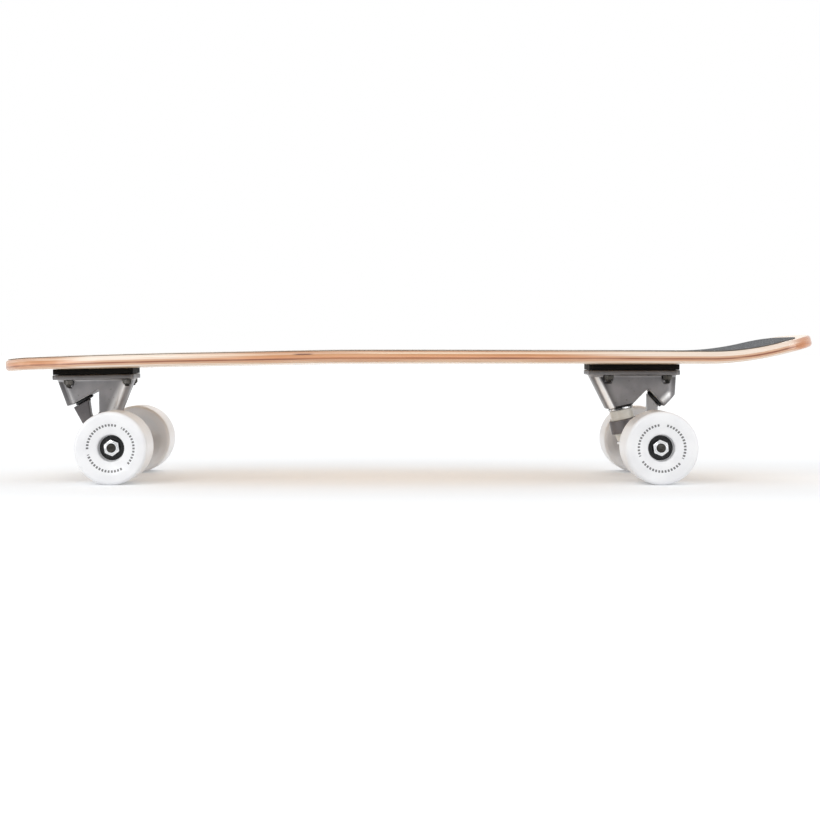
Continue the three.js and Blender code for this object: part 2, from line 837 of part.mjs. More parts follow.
// Wheel pieces are made about Z with the middle of the wheel at zero and outboard up
function wheel() {
  const half = wheelWidth / 2;
  const radius = wheelDiameter / 2;
  const seat = bearingDiameter / 2 + fitGap;
  const shoulder = seat - wheelShoulder;
  const shoulderHalf = spacerLength / 2 - fitGap;
  const mouth = half - wheelDishDepth;
  const rise = 1 - Math.SQRT1_2;
  const side = [
    [shoulder, shoulderHalf],
    [seat, shoulderHalf],
    [seat, bearingOuterFace + fitGap],
    [wheelMouthRadius - wheelMouthTaper, bearingOuterFace + fitGap],
    [wheelMouthRadius, mouth],
    [wheelCrownRadius, half],
    [radius - wheelLip * rise, half - wheelLip * rise],
    [radius, half - wheelLip],
  ];
  const below = side.map(([r, z]) => [r, -z]);
  return turned([...below, ...[...side].reverse(), below[0]], fineSides);
}

// The outer ring of a bearing with its shield
function bearing(bottom) {
  return tube(bearingShieldRadius, bearingDiameter / 2, bottom, bottom + bearingWidth, roundSides);
}

// The inner rings of the two bearings with the spacer between them
function bearingSleeve() {
  const end = bearingOuterFace - fitGap;
  return tube(axleDiameter / 2 + fitGap, innerRingRadius, -end, end, axleSides);
}

// The axle nut with the outer speed washer as its flange
function axleNut() {
  const flangeBottom = bearingOuterFace;
  const nutBottom = flangeBottom + speedWasherThickness;
  const top = nutBottom + axleNutHeight;
  const flange = rod(speedWasherDiameter / 2, flangeBottom, nutBottom, roundSides);
  const hex = hexPrism(axleNutFlats, nutBottom - fitGap, top);
  const bore = rod(axleDiameter / 2 + fitGap, flangeBottom - overrun, top + overrun, roundSides);
  return cut(join([flange, hex]), [bore]);
}

function mountingBolt() {
  const radius = boltDiameter / 2;
  const top = riserStack + deckThickness + fitGap + gripThickness;
  const end = -plateThickness - fitGap - boltNutHeight - boltStickOut;
  return turned([
    [0, end],
    [radius, end],
    [radius, top - boltHeadHeight],
    [boltHeadDiameter / 2, top],
    [0, top],
  ], smallSides);
}

function mountingNut() {
  const top = -plateThickness - fitGap;
  const bore = rod(boltDiameter / 2 + fitGap, top - boltNutHeight - overrun, top + overrun, smallSides);
  return cut(hexPrism(boltNutFlats, top - boltNutHeight, top), [bore]);
}

// The hole for one bolt through the deck and the grip tape, with room for its head
function boltHole() {
  const top = riserStack + deckThickness + fitGap + gripThickness;
  const radius = boltDiameter / 2 + fitGap;
  const head = boltHeadDiameter / 2 + fitGap;
  return turned([
    [0, riserStack - overrun],
    [radius, riserStack - overrun],
    [radius, top - boltHeadHeight],
    [head, top],
    [head, top + overrun],
    [0, top + overrun],
  ], smallSides);
}

function drilledSheet(sheet, frames) {
  const holes = frames.flatMap((frame) => boltPlaces().map(([x, y]) => {
    return boltHole().translate(x, y, 0).applyMatrix4(frame.group.matrixWorld);
  }));
  return cut(sheet, holes);
}

// Everything that hangs on one truck's plate
function truck(frame, end) {
  const { sizes, group, seat, kingpinUp, pivot, steer, axle } = frame;
  const up = new THREE.Vector3(0, 0, 1);
  group.add(mesh(`riser_pad_${end}`, riserPad(frame), 'riser'));
  group.add(mesh(`baseplate_${end}`, baseplate(frame), 'casting'));
  group.add(mesh(`hanger_${end}`, hanger(frame), 'hanger'));

  const stack = new THREE.Group();
  stack.position.copy(seat);
  stack.quaternion.setFromUnitVectors(up, kingpinUp);
  stack.add(mesh(`kingpin_${end}`, kingpin(sizes), 'darkSteel'));
  stack.add(mesh(`kingpin_nut_${end}`, kingpinNut(), 'steel'));
  stack.add(mesh(`bushing_board_${end}`, bushingBoard(), 'bushing'));
  stack.add(mesh(`bushing_road_${end}`, bushingRoad(), 'bushing'));
  const boardWasher = mesh(`cup_washer_board_${end}`, cupWasher(cupWasherBoardRadius, -1), 'steel');
  boardWasher.position.z = -fitGap;
  const roadWasher = mesh(`cup_washer_road_${end}`, cupWasher(cupWasherRoadRadius, 1), 'steel');
  roadWasher.position.z = -roadStack - cupWasherThickness;
  stack.add(boardWasher, roadWasher);
  group.add(stack);

  const cup = mesh(`pivot_cup_${end}`, pivotCup(), 'cup');
  cup.position.copy(pivot);
  cup.quaternion.setFromUnitVectors(up, steer);
  group.add(cup);

  const shaft = mesh(`axle_${end}`, axleRod(), 'darkSteel');
  shaft.position.copy(axle);
  group.add(shaft);

  boltPlaces().forEach(([x, y], index) => {
    const bolt = mesh(`mounting_bolt_${end}_${index + 1}`, mountingBolt(), 'darkSteel');
    const nut = mesh(`mounting_nut_${end}_${index + 1}`, mountingNut(), 'darkSteel');
    bolt.position.set(x, y, 0);
    nut.position.set(x, y, 0);
    group.add(bolt, nut);
  });
  return group;
}

// One wheel with its bearings, sleeve and nut, outboard along Z before it is turned to its side
function wheelSet(end, side, axleX) {
  const name = (piece) => `${piece}_${end}_${side < 0 ? 'near' : 'far'}`;
  const set = new THREE.Group();
  const tread = mesh(name('wheel'), wheel(), 'urethane');
  tread.rotation.z = Math.PI / fineSides;
  set.add(tread);
  set.add(mesh(name('bearing_outboard'), bearing(spacerLength / 2), 'shield'));
  set.add(mesh(name('bearing_inboard'), bearing(-bearingOuterFace), 'shield'));
  set.add(mesh(name('bearing_sleeve'), bearingSleeve(), 'steel'));
  set.add(mesh(name('axle_nut'), axleNut(), 'steel'));
  set.position.set(axleX, side * wheelCentreY, axleHeight);
  set.rotation.x = -side * Math.PI / 2;
  return set;
}

const skateboard = new THREE.Group();
const frontFrame = truckFrame(frontSizes, frontPatternX, -1);
const rearFrame = truckFrame(rearSizes, rearPatternX, 1);
const frames = [frontFrame, rearFrame];
const wood = deckSheet(-deckThickness, 0, 0, deckEdgeChamfer);
const tape = deckSheet(fitGap, fitGap + gripThickness, gripInset, 0, gripShortOfTail);
skateboard.add(mesh('deck', drilledSheet(wood, frames), 'maple'));
skateboard.add(mesh('grip_tape', drilledSheet(tape, frames), 'grip'));
skateboard.add(truck(frontFrame, 'front'), truck(rearFrame, 'rear'));
[['front', frontAxleX], ['rear', rearAxleX]].forEach(([end, axleX]) => {
  skateboard.add(wheelSet(end, -1, axleX), wheelSet(end, 1, axleX));
});

export default skateboard;
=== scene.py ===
"""The looks of a surf skateboard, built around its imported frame.

Pieces are modelled in millimetres about their own axes and then set in place in metres.
X points to the tail, Z up, and the ground is at zero.
"""
import math

import bpy
from mathutils import Matrix, Vector


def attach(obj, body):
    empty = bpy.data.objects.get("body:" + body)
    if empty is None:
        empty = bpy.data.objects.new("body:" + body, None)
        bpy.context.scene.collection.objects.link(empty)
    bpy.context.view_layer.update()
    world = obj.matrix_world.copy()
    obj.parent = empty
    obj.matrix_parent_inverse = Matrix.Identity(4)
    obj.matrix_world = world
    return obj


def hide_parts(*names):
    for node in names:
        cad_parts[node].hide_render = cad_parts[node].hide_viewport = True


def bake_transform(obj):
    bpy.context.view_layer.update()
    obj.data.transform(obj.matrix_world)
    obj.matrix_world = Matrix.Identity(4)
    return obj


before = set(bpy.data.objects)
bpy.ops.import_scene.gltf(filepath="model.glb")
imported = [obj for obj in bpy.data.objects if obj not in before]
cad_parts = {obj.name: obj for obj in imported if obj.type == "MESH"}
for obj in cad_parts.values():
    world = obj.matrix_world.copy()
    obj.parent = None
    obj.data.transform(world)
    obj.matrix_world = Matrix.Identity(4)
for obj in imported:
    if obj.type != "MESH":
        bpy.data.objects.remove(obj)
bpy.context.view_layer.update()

MM = 0.001
MERGE = 0.004
FIT = 0.3

# Camera and light

PHOTO_SIZE = 820
CAMERA_PLACE = (-0.00885, -1.880, 0.1195)
CAMERA_AXIS_AT = (395.8, 348.5)
LENS = 88.8
SENSOR = 36
SKY_LIGHT = 0.71
SKY_SHOWN = 1.0


def add_camera():
    data = bpy.data.cameras.new("camera")
    data.lens = LENS
    data.sensor_width = SENSOR
    data.shift_x = 0.5 - CAMERA_AXIS_AT[0] / PHOTO_SIZE
    data.shift_y = CAMERA_AXIS_AT[1] / PHOTO_SIZE - 0.5
    camera = bpy.data.objects.new("camera", data)
    camera.location = CAMERA_PLACE
    camera.rotation_euler = (math.pi / 2, 0, 0)
    bpy.context.scene.collection.objects.link(camera)
    bpy.context.scene.camera = camera


def add_lamp(name, place, aim, size, power, height=None):
    data = bpy.data.lights.new(name, "AREA")
    data.size = size
    if height:
        data.shape = "RECTANGLE"
        data.size_y = height
    data.energy = power
    lamp = bpy.data.objects.new(name, data)
    lamp.location = place
    lamp.rotation_euler = (Vector(aim) - Vector(place)).to_track_quat("-Z", "Y").to_euler()
    bpy.context.scene.collection.objects.link(lamp)


add_camera()
bpy.context.scene.view_settings.view_transform = "Standard"
add_lamp("key_lamp", (-0.9, -1.7, 1.3), (0, 0, 0.08), 0.9, 9)
add_lamp("back_lamp", (0.3, 1.6, 1.2), (0, 0, 0.08), 0.9, 7)
for side in (-1, 1):
    add_lamp("side_lamp", (1.25 * side, -0.75, 0.22), (0, 0, 0.08), 0.5, 3, 0.5)

# Sizes of the deck, in millimetres

WHEELBASE = 482
NOSE_OVERHANG = 111
TAIL_OVERHANG = 145.5
DECK_LENGTH = NOSE_OVERHANG + WHEELBASE + TAIL_OVERHANG
DECK_WIDTH = 241.3
DECK_THICKNESS = 10.3
DECK_EDGE_ROUND = 3
NOSE_NARROWING = 26
TAIL_NARROWING = 47.4
NOSE_ROUND = 178
TAIL_ROUND = 43.6
WIDEST_FROM_MIDDLE = 40
NOSE_TIP_HALF_WIDTH = 9
TAIL_TIP_HALF_WIDTH = 34
TIP_BULGE = 0.4
WIDTH_SHARE = 0.999
NOSE_SQUARENESS = 2.3
TAIL_SQUARENESS = 3.45
RAIL_RISE = 2.2
FLAT_HALF_WIDTH = 34
FRONT_DROP = math.radians(1.05)
FRONT_BEND = 60
FRONT_BEND_FROM_AXLE = 193.5
NOSE_DROP = math.radians(3.4)
NOSE_BEND = 14
NOSE_BEND_FROM_TIP = 23.5
KICK = math.radians(14)
KICK_BEND = 61.2
KICK_BEND_FROM_TIP = 70.6
GRIP_THICKNESS = 0.6
GRIP_INSET = 2.4
GRIP_SHORT_OF_TAIL = 12

# Sizes of the running gear, in millimetres

WHEEL_SIDES_IN_FRAME = 24
AXLE_HEIGHT = 32.5 * math.cos(math.pi / WHEEL_SIDES_IN_FRAME)
TRUCK_HEIGHT = 67.4
RISER_THICKNESS = 5
RISER_SHRINK = 0.4
RISER_STACK = RISER_THICKNESS + 2 * FIT
FRONT_AXLE_X = NOSE_OVERHANG - DECK_LENGTH / 2
REAR_AXLE_X = FRONT_AXLE_X + WHEELBASE
FLAT_TOP = AXLE_HEIGHT + TRUCK_HEIGHT + RISER_STACK + DECK_THICKNESS
DECK_FRONT = -DECK_LENGTH / 2
DECK_BACK = DECK_LENGTH / 2 - DECK_THICKNESS * math.sin(KICK)
KICK_START = DECK_LENGTH / 2 - KICK_BEND_FROM_TIP - KICK_BEND / 2

BOLT_X = 53.98 / 2
BOLT_Y = 41.3 / 2
BOLT_RADIUS = 2.4
BOLT_HEAD_RADIUS = 4.6
BOLT_HEAD_HEIGHT = 2.6
BOLT_NUT_FLATS = 8
BOLT_NUT_HEIGHT = 4.8
BOLT_STICK_OUT = 1.6
NUT_POCKET_MARGIN = 0.9

PLATE_THICKNESS = 4.4
PLATE_HALF_WIDTH = 28
PLATE_CORNER = 4.5
KINGPIN_RADIUS = 4.7
KINGPIN_HEAD_FLATS = 14.3
KINGPIN_HEAD_HEIGHT = 5.5
KINGPIN_HEAD_POCKET = 10
KINGPIN_POCKET_RADIUS = 9.4
KINGPIN_NUT_HEIGHT = 7.2
KINGPIN_STICK_OUT = 2.6
WASHER_THICKNESS = 2.2
WASHER_RIM = 0.9
WASHER_BOARD_RADIUS = 11.4
WASHER_ROAD_RADIUS = 9.9
BUSHING_RADIUS = 10.9
BUSHING_BORE = 5.3
BUSHING_ROOM = 6.3
BUSHING_ROAD_HEIGHT = 11
BUSHING_ROAD_END = 9.2
RING_WEB = 4.6
RING_HOLE_RADIUS = 7.2
RING_RADIUS = 13.2
RING_RIM = 4
RING_DROP = 18
BOARD_STACK = WASHER_THICKNESS + 2 * FIT
ROAD_STACK = RING_DROP + RING_WEB / 2 + 2 * FIT + BUSHING_ROAD_HEIGHT
KINGPIN_NUT_TOP = ROAD_STACK + WASHER_THICKNESS + FIT
KINGPIN_LENGTH = KINGPIN_NUT_TOP + KINGPIN_NUT_HEIGHT + KINGPIN_STICK_OUT

CUP_RADIUS = 8
CUP_FLANGE_RADIUS = 9
CUP_FLANGE = 1.8
ARM_GAP = FIT + CUP_FLANGE + 0.5
CUP_DEPTH = 10
NOSE_RADIUS = 5.4
NOSE_DEPTH = 7.6

HANGER_HALF = 76
AXLE_RADIUS = 4
WHEEL_CENTRE_Y = 89
WHEEL_HALF = 25.5
BEARING_RADIUS = 11
BEARING_INNER = 5
BEARING_OUTER = 12
AXLE_NUT_FLATS = 12.7
AXLE_NUT_HEIGHT = 6
AXLE_STICK_OUT = 1.6

# Each truck in its own axes: X runs outward from the middle of its bolts, and drops are below the plate's top
REAR = dict(
    end="rear", axle_from_pattern=9.8, plate_outer=38.1, plate_inner=46,
    top_outer=36.8, top_inner=45.2, foot_outer=34.9, foot_inner=27.7, foot_drop=37,
    top_half=17.5, foot_half=15, corner=11, seat=(-14.3, -33.9), seat_length=20, kingpin_tilt=12.5,
    pivot=(18.1, -26.2), to_apex=12.4, apex_round=3.2, to_heel=9.7, heel_angle=44.7,
    arm_inner=8.6, arm_outer=6.4, arm_lean=-0.4, arm_drop=16, arm_half=6.2,
    rib_reach=13, rib_height=5, foot_share=1, foot_reach=9.6, foot_depth=5,
    # painted highlights and painted shade on this truck's castings
    heel_shine=1, body_shade=0.36, arm_shine=0.4, plate_glint=0.2,
    inner_shine=((2, 0), (4, 0.9), (7, 0.9), (9, -0.5), (16, 0)), outer_shine=((0, -0.4), (8, 0)),
)
FRONT = dict(
    end="front", axle_from_pattern=-24.9, plate_outer=41.2, plate_inner=33.6,
    top_outer=40.2, top_inner=33, foot_outer=25.9, foot_inner=15.8, foot_drop=43,
    top_half=17, foot_half=13.5, corner=11, seat=(-8, -38.8), seat_length=18, kingpin_tilt=21,
    pivot=(16.1, -22.6), to_apex=18.2, apex_round=1.0, to_heel=7.6, heel_angle=-20,
    arm_inner=4.4, arm_outer=11.5, arm_lean=-1.5, arm_drop=13, arm_half=6.6,
    rib_reach=13, rib_height=9, foot_share=0, foot_reach=17.5, foot_depth=5,
    # painted highlights and painted shade on this truck's castings
    heel_shine=0, body_shade=0.18, arm_shine=0, plate_glint=0.4,
    inner_shine=((3, 0), (6, 0.9), (14, 0)), outer_shine=((0, -0.5), (5, -0.5), (8, 0.4), (12, 0)),
)

CAST_GRAIN = 0.55
CAST_ROUNDS = 9

# Painted light on the castings: painted highlights up to 1 and painted shade down to -1

BODY_SHADE_START = 4.2
PLATE_EDGE_SHADE = ((-3, -0.4), (0, -0.5))
BODY_SHADE_FADES = ((17, 0), (30, 0.06))
FLAT_FACE, END_FACE, SLANTED_FACE, FACES_DOWN = 0.95, 0.1, 0.9, -0.2
RIM_FROM_END, RIM_SHINE = 11, 0.6
SEAT_FROM_END, SEAT_BAND, SEAT_SHADE = 9, 1.3, -0.8
ARM_ROOT = -20
HEEL_ALONG = ((0, 0), (3, 0.9), (11, 0.9), (15, 0))
HEEL_ABOVE = ((1, 0), (5, 1), (9, 0))

# The board is seven veneers of equal thickness, given from the top down. It is paler towards both ends

WOOD_TONES = {
    "light": "F4E4D4", "pale": "F0D4B8", "tan": "D4A888", "amber": "E4A478",
    "warm": "D09464", "dark": "8C5030",
}
MIDDLE_VENEERS = ("tan", "pale", "warm", "amber", "dark", "tan", "pale")
END_VENEERS = ("light", "light", "light", "tan", "dark", "tan", "light")
GLUE_SHARE = 0.15
KNOT_AT = -0.0895
KNOT_LEVEL = 0.27

# Modelling steps


def select_only(piece):
    bpy.ops.object.select_all(action="DESELECT")
    piece.select_set(True)
    bpy.context.view_layer.objects.active = piece


def draw(points):
    """A line through points of X and Z, left selected in edit mode."""
    bpy.ops.object.select_all(action="DESELECT")
    bpy.ops.mesh.primitive_plane_add(size=1)
    bpy.ops.object.mode_set(mode="EDIT")
    bpy.ops.mesh.merge(type="CENTER")
    bpy.ops.transform.translate(value=(points[0][0], 0, points[0][1]))
    for (x, z), (next_x, next_z) in zip(points, points[1:]):
        step = (next_x - x, 0, next_z - z)
        bpy.ops.mesh.extrude_vertices_move(TRANSFORM_OT_translate={"value": step})
    bpy.ops.mesh.select_all(action="SELECT")


def close_up(name):
    """Merges what meets, turns the faces outwards and leaves edit mode."""
    bpy.ops.mesh.select_all(action="SELECT")
    bpy.ops.mesh.remove_doubles(threshold=MERGE)
    bpy.ops.mesh.normals_make_consistent(inside=False)
    bpy.ops.object.mode_set(mode="OBJECT")
    piece = bpy.context.object
    piece.name = name
    return piece


def turned(name, points, steps=48):
    """Points of radius and height spun about Z."""
    draw(points)
    bpy.ops.mesh.spin(steps=steps, angle=math.tau, center=(0, 0, 0), axis=(0, 0, 1))
    return close_up(name)


def rod(name, radius, bottom, top, steps=48):
    return turned(name, [(0, bottom), (radius, bottom), (radius, top), (0, top)], steps)


def slab(name, points, half):
    """A closed outline in X and Z, spread to both sides along Y."""
    draw(points + points[:1])
    bpy.ops.mesh.remove_doubles(threshold=MERGE)
    bpy.ops.mesh.edge_face_add()
    bpy.ops.transform.translate(value=(0, -half, 0))
    bpy.ops.mesh.extrude_region_move(TRANSFORM_OT_translate={"value": (0, 2 * half, 0)})
    return close_up(name)


def block(name, left, right, half, corner, top, bottom, foot=None):
    """A plate with round corners from one height to another.

    Its foot may have its own left, right and half width.
    """
    bpy.ops.object.select_all(action="DESELECT")
    bpy.ops.mesh.primitive_plane_add(size=1)
    bpy.ops.object.mode_set(mode="EDIT")
    bpy.ops.transform.resize(value=(right - left, 2 * half, 1))
    bpy.ops.transform.translate(value=((left + right) / 2, 0, top))
    bpy.ops.mesh.bevel(offset=corner, segments=8, affect="VERTICES")
    bpy.ops.mesh.select_all(action="SELECT")
    bpy.ops.mesh.extrude_region_move(TRANSFORM_OT_translate={"value": (0, 0, bottom - top)})
    if foot:
        foot_left, foot_right, foot_half = foot
        scale = ((foot_right - foot_left) / (right - left), foot_half / half, 1)
        centre = ((left + right) / 2, 0, bottom)
        bpy.ops.transform.resize(value=scale, center_override=centre)
        bpy.ops.transform.translate(value=((foot_left + foot_right - left - right) / 2, 0, 0))
    return close_up(name)


def apply(piece, kind, **settings):
    select_only(piece)
    step = piece.modifiers.new(kind.lower(), kind)
    for key, value in settings.items():
        setattr(step, key, value)
    bpy.ops.object.modifier_apply(modifier=step.name)


def combine(piece, operation, *tools):
    for tool in tools:
        apply(piece, "BOOLEAN", operation=operation, object=tool, solver="MANIFOLD")
        bpy.data.objects.remove(tool)
    return piece


def cut(piece, *tools):
    return combine(piece, "DIFFERENCE", *tools)


def join(piece, *tools):
    return combine(piece, "UNION", *tools)


def cast(piece):
    """Rounds every edge a little, as a casting has them."""
    apply(piece, "REMESH", mode="VOXEL", voxel_size=CAST_GRAIN)
    apply(piece, "SMOOTH", factor=0.5, iterations=CAST_ROUNDS)
    select_only(piece)
    bpy.ops.object.shade_smooth()
    return piece


def read_off(table, place):
    """The value at a place, from a table of places and values."""
    for (start, low), (end, high) in zip(table, table[1:]):
        if place <= end:
            return low + (high - low) * max(0, place - start) / (end - start)
    return table[-1][1]


def polish(piece, plan, heel, heel_way):
    """Paints light and shade onto a base as a point attribute: highlight and shade bands on its corners and
    plate edge, highlights on its heel and on faces slanting down, and shade under the plate and along the
    seat.
    """
    depth = plan["foot_drop"] - PLATE_THICKNESS / 2
    heel_up = Vector((-heel_way.z, 0, heel_way.x))
    mark = piece.data.attributes.new("polish", "FLOAT", "POINT")
    for vertex, value in zip(piece.data.vertices, mark.data):
        place, facing = vertex.co, vertex.normal
        down = -place.z - PLATE_THICKNESS / 2
        if down < BODY_SHADE_START and abs(facing.z) < FLAT_FACE:
            # Painted highlight along the plate's lower edge, painted shade along its top
            value.value = read_off(((-6.5, 0), (-5, plan["plate_glint"]), *PLATE_EDGE_SHADE), place.z)
        if down < BODY_SHADE_START or abs(facing.y) < END_FACE:
            continue
        share = down / depth
        inner = place.x + plan["top_inner"] + share * (plan["foot_inner"] - plan["top_inner"])
        outer = plan["top_outer"] + share * (plan["foot_outer"] - plan["top_outer"]) - place.x
        # Painted reflection bands, light and dark, on the corners, and painted shade that fades downward from
        # under the plate
        shine = read_off(plan["inner_shine"], inner) + read_off(plan["outer_shine"], outer)
        shine += read_off(((BODY_SHADE_START, -plan["body_shade"]), *BODY_SHADE_FADES), down)
        # Painted highlight on faces slanting down, painted shade along the seat, and a painted highlight on
        # the heel
        rim = abs(facing.y) < SLANTED_FACE and facing.z < FACES_DOWN and min(inner, outer) > RIM_FROM_END
        from_seat = place - plan["seat_at"]
        beside = abs(from_seat.dot(plan["across"])) < plan["seat_length"] / 2
        seat = beside and inner > SEAT_FROM_END and abs(from_seat.dot(plan["up"])) < SEAT_BAND
        from_heel = place - heel
        along, above = from_heel.dot(heel_way), from_heel.dot(heel_up)
        shine += read_off(HEEL_ALONG, along) * read_off(HEEL_ABOVE, above) * plan["heel_shine"]
        value.value = SEAT_SHADE if seat else max(shine, RIM_SHINE) if rim else shine
    return piece


def aimed(place, direction):
    """The matrix that turns Z to a direction and moves the origin to a place."""
    turn = Vector((0, 0, 1)).rotation_difference(Vector(direction)).to_matrix().to_4x4()
    return Matrix.Translation(place) @ turn


def raised(height):
    return Matrix.Translation((0, 0, height))


def move(piece, matrix):
    piece.data.transform(matrix)
    piece.data.update()
    return piece


def finish(piece, name, matrix, body, paint, nodes=(), smooth=35):
    """Sets a modelled piece in place in metres, gives it its finish, and fixes it to a body when that body is
    given by name.
    """
    piece.name = name
    piece.data.name = name
    move(piece, Matrix.Scale(MM, 4) @ matrix)
    if smooth:
        select_only(piece)
        bpy.ops.object.shade_smooth_by_angle(angle=math.radians(smooth))
    piece.data.materials.clear()
    piece.data.materials.append(paint)
    if isinstance(body, str):
        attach(piece, body)
    else:
        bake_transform(piece)
    if nodes:
        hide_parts(*nodes)
    return piece


def copy_of(piece):
    twin = piece.copy()
    twin.data = piece.data.copy()
    bpy.context.scene.collection.objects.link(twin)
    return twin


def eased(before, corner, after, reach, steps=6):
    """Points that round the corner of an outline, from one side of it to the other."""
    start = corner + reach * (before - corner).normalized()
    end = corner + reach * (after - corner).normalized()
    shares = [i / steps for i in range(steps + 1)]
    return [flat(start.lerp(corner, t).lerp(corner.lerp(end, t), t)) for t in shares]


def arc(centre, radius, start, end, steps=6):
    """Points on an arc, from one angle to another in degrees."""
    angles = [math.radians(start + (end - start) * i / steps) for i in range(steps + 1)]
    return [(centre[0] + radius * math.cos(a), centre[1] + radius * math.sin(a)) for a in angles]


# Materials


class Wire:
    """A socket that takes part in sums, each of which adds a Math node."""

    def __init__(self, paint, socket):
        self.paint = paint
        self.socket = socket

    def maths(self, operation, *values):
        return self.paint.node("ShaderNodeMath", {"operation": operation}, dict(enumerate(values)))

    def __add__(self, other):
        return self.maths("ADD", self, other)

    def __radd__(self, other):
        return self.maths("ADD", other, self)

    def __sub__(self, other):
        return self.maths("SUBTRACT", self, other)

    def __rsub__(self, other):
        return self.maths("SUBTRACT", other, self)

    def __mul__(self, other):
        return self.maths("MULTIPLY", self, other)

    def __rmul__(self, other):
        return self.maths("MULTIPLY", other, self)

    def __truediv__(self, other):
        return self.maths("DIVIDE", self, other)

    def __abs__(self):
        return self.maths("ABSOLUTE", self)


def linear(code):
    """A colour written as six hex digits, as the shader takes it."""
    parts = [int(code[i:i + 2], 16) / 255 for i in (0, 2, 4)]
    return tuple(p / 12.92 if p <= 0.04045 else ((p + 0.055) / 1.055) ** 2.4 for p in parts) + (1,)


class Nodes:
    """A node tree, with one method that adds a node of any kind."""

    def __init__(self, tree):
        self.tree = tree

    def join(self, value, socket):
        if isinstance(value, Wire):
            self.tree.links.new(value.socket, socket)
        else:
            socket.default_value = value

    def node(self, kind, settings=None, values=None, output=0):
        made = self.tree.nodes.new(kind)
        for key, value in (settings or {}).items():
            if key == "stops":
                set_stops(made.color_ramp.elements, value)
            else:
                setattr(made, key, value)
        for key, value in (values or {}).items():
            self.join(value, made.inputs[key])
        return Wire(self, made.outputs[output])

    def split(self, vector):
        """The three parts of a vector."""
        parts = self.node("ShaderNodeSeparateXYZ", {}, {0: vector})
        return [Wire(self, socket) for socket in parts.socket.node.outputs]

    def place(self):
        return self.node("ShaderNodeTexCoord", output="Object")

    def stretched(self, scale):
        return self.node("ShaderNodeMapping", {}, {"Vector": self.place(), "Scale": scale})

    def noise(self, scale, detail=3, vector=None, roughness=0.5):
        values = {"Vector": vector or self.place(), "Scale": scale, "Detail": detail, "Roughness": roughness}
        return self.node("ShaderNodeTexNoise", {}, values)

    def range(self, value, low, high, to_low=0.0, to_high=1.0):
        values = {"Value": value, 1: low, 2: high, 3: to_low, 4: to_high}
        return self.node("ShaderNodeMapRange", {"interpolation_type": "SMOOTHSTEP"}, values)

    def ramp(self, value, stops):
        return self.node("ShaderNodeValToRGB", {"stops": stops}, {0: value})

    def mix(self, share, first, second):
        return self.node("ShaderNodeMix", {"data_type": "RGBA"}, {0: share, 6: first, 7: second}, output=2)


class Paint(Nodes):
    """One material and its shader."""

    def __init__(self, name, colour, roughness, metallic=0.0, **constants):
        self.material = bpy.data.materials.new(name)
        self.material.use_nodes = True
        super().__init__(self.material.node_tree)
        self.shader = self.tree.nodes["Principled BSDF"]
        self.set("Base Color", linear(colour))
        self.set("Roughness", roughness)
        self.set("Metallic", metallic)
        for key, value in constants.items():
            self.set(key.replace("_", " "), value)

    def set(self, name, value):
        self.join(value, self.shader.inputs[name])

    def bump(self, height, depth):
        values = {"Height": height, "Distance": depth, "Strength": 1.0}
        self.set("Normal", self.node("ShaderNodeBump", {}, values))


def set_stops(elements, stops):
    while len(elements) < len(stops):
        elements.new(1.0)
    for element, (place, colour) in zip(elements, stops):
        element.position = place
        element.color = linear(colour)


def veneer_stops(veneers):
    """Ramp stops for veneers of equal thickness, each in one tone, with a soft joint to the next."""
    return [((i + share) / len(veneers), WOOD_TONES[tone]) for i, tone in enumerate(veneers)
            for share in (GLUE_SHARE, 1 - GLUE_SHARE)]


def maple_paint():
    paint = Paint("maple", "E3BE93", 0.42, Coat_Weight=0.6, Coat_Roughness=0.12)
    depth = paint.node("ShaderNodeAttribute", {"attribute_name": "depth"}, output="Fac")
    wave = paint.noise(1.0, 2, paint.stretched((9, 4, 4)))
    level = depth + (wave - 0.5) * 0.05
    middle = paint.ramp(level, veneer_stops(MIDDLE_VENEERS))
    ends = paint.ramp(level, veneer_stops(END_VENEERS))
    along, to_far_side, _ = paint.split(paint.place())
    paler = paint.range(abs(along), 0.11, 0.22) * paint.range(along, -0.315, -0.275)
    plies = paint.mix(paler, middle, ends)
    plies = paint.mix(paint.range(along, 0.335, 0.355, 0, 0.9), plies, linear("C67842"))
    plies = paint.mix(paint.range(along, -0.315, -0.285, 0.3, 0), plies, linear("AE6E46"))
    warm = paint.noise(1.0, 3, paint.stretched((7, 40, 500)), 0.55)
    plies = paint.mix(paint.range(warm, 0.44, 0.62, 0, 0.5) * (1 - paler * 0.75), plies, linear("C07C4C"))
    knot = paint.range(abs(along - KNOT_AT), 0.004, 0.011, 1, 0) * paint.range(to_far_side, -0.02, 0, 1, 0)
    knot *= paint.range(abs(level - KNOT_LEVEL), 0.03, 0.09, 0.85, 0)
    plies = paint.mix(knot, plies, linear("6A3826"))
    streak = paint.noise(1.0, 4, paint.stretched((14, 60, 420)), 0.6)
    edge = paint.mix(paint.range(streak, 0.46, 0.70, 0, 0.3), plies, linear("EABF9B"))
    figure = paint.noise(1.0, 6, paint.stretched((5, 90, 30)), 0.62)
    pores = paint.noise(1.0, 3, paint.stretched((60, 1400, 60)), 0.5)
    face = paint.ramp(figure, [(0.28, "D8AE7E"), (0.45, "E4C197"), (0.6, "EBCDA6"), (0.75, "F0D6B4")])
    face = paint.mix(paint.range(pores, 0.58, 0.72, 0, 0.35), face, linear("C2925E"))
    inside = paint.range(depth, 0.0, 0.03) * paint.range(depth, 0.97, 1.0, 1.0, 0.0)
    paint.set("Base Color", paint.mix(inside, face, edge))
    paint.set("Roughness", paint.range(figure, 0.3, 0.7, 0.36, 0.5))
    paint.bump(pores * 0.3 + streak * 0.7, 0.00006)
    return paint.material


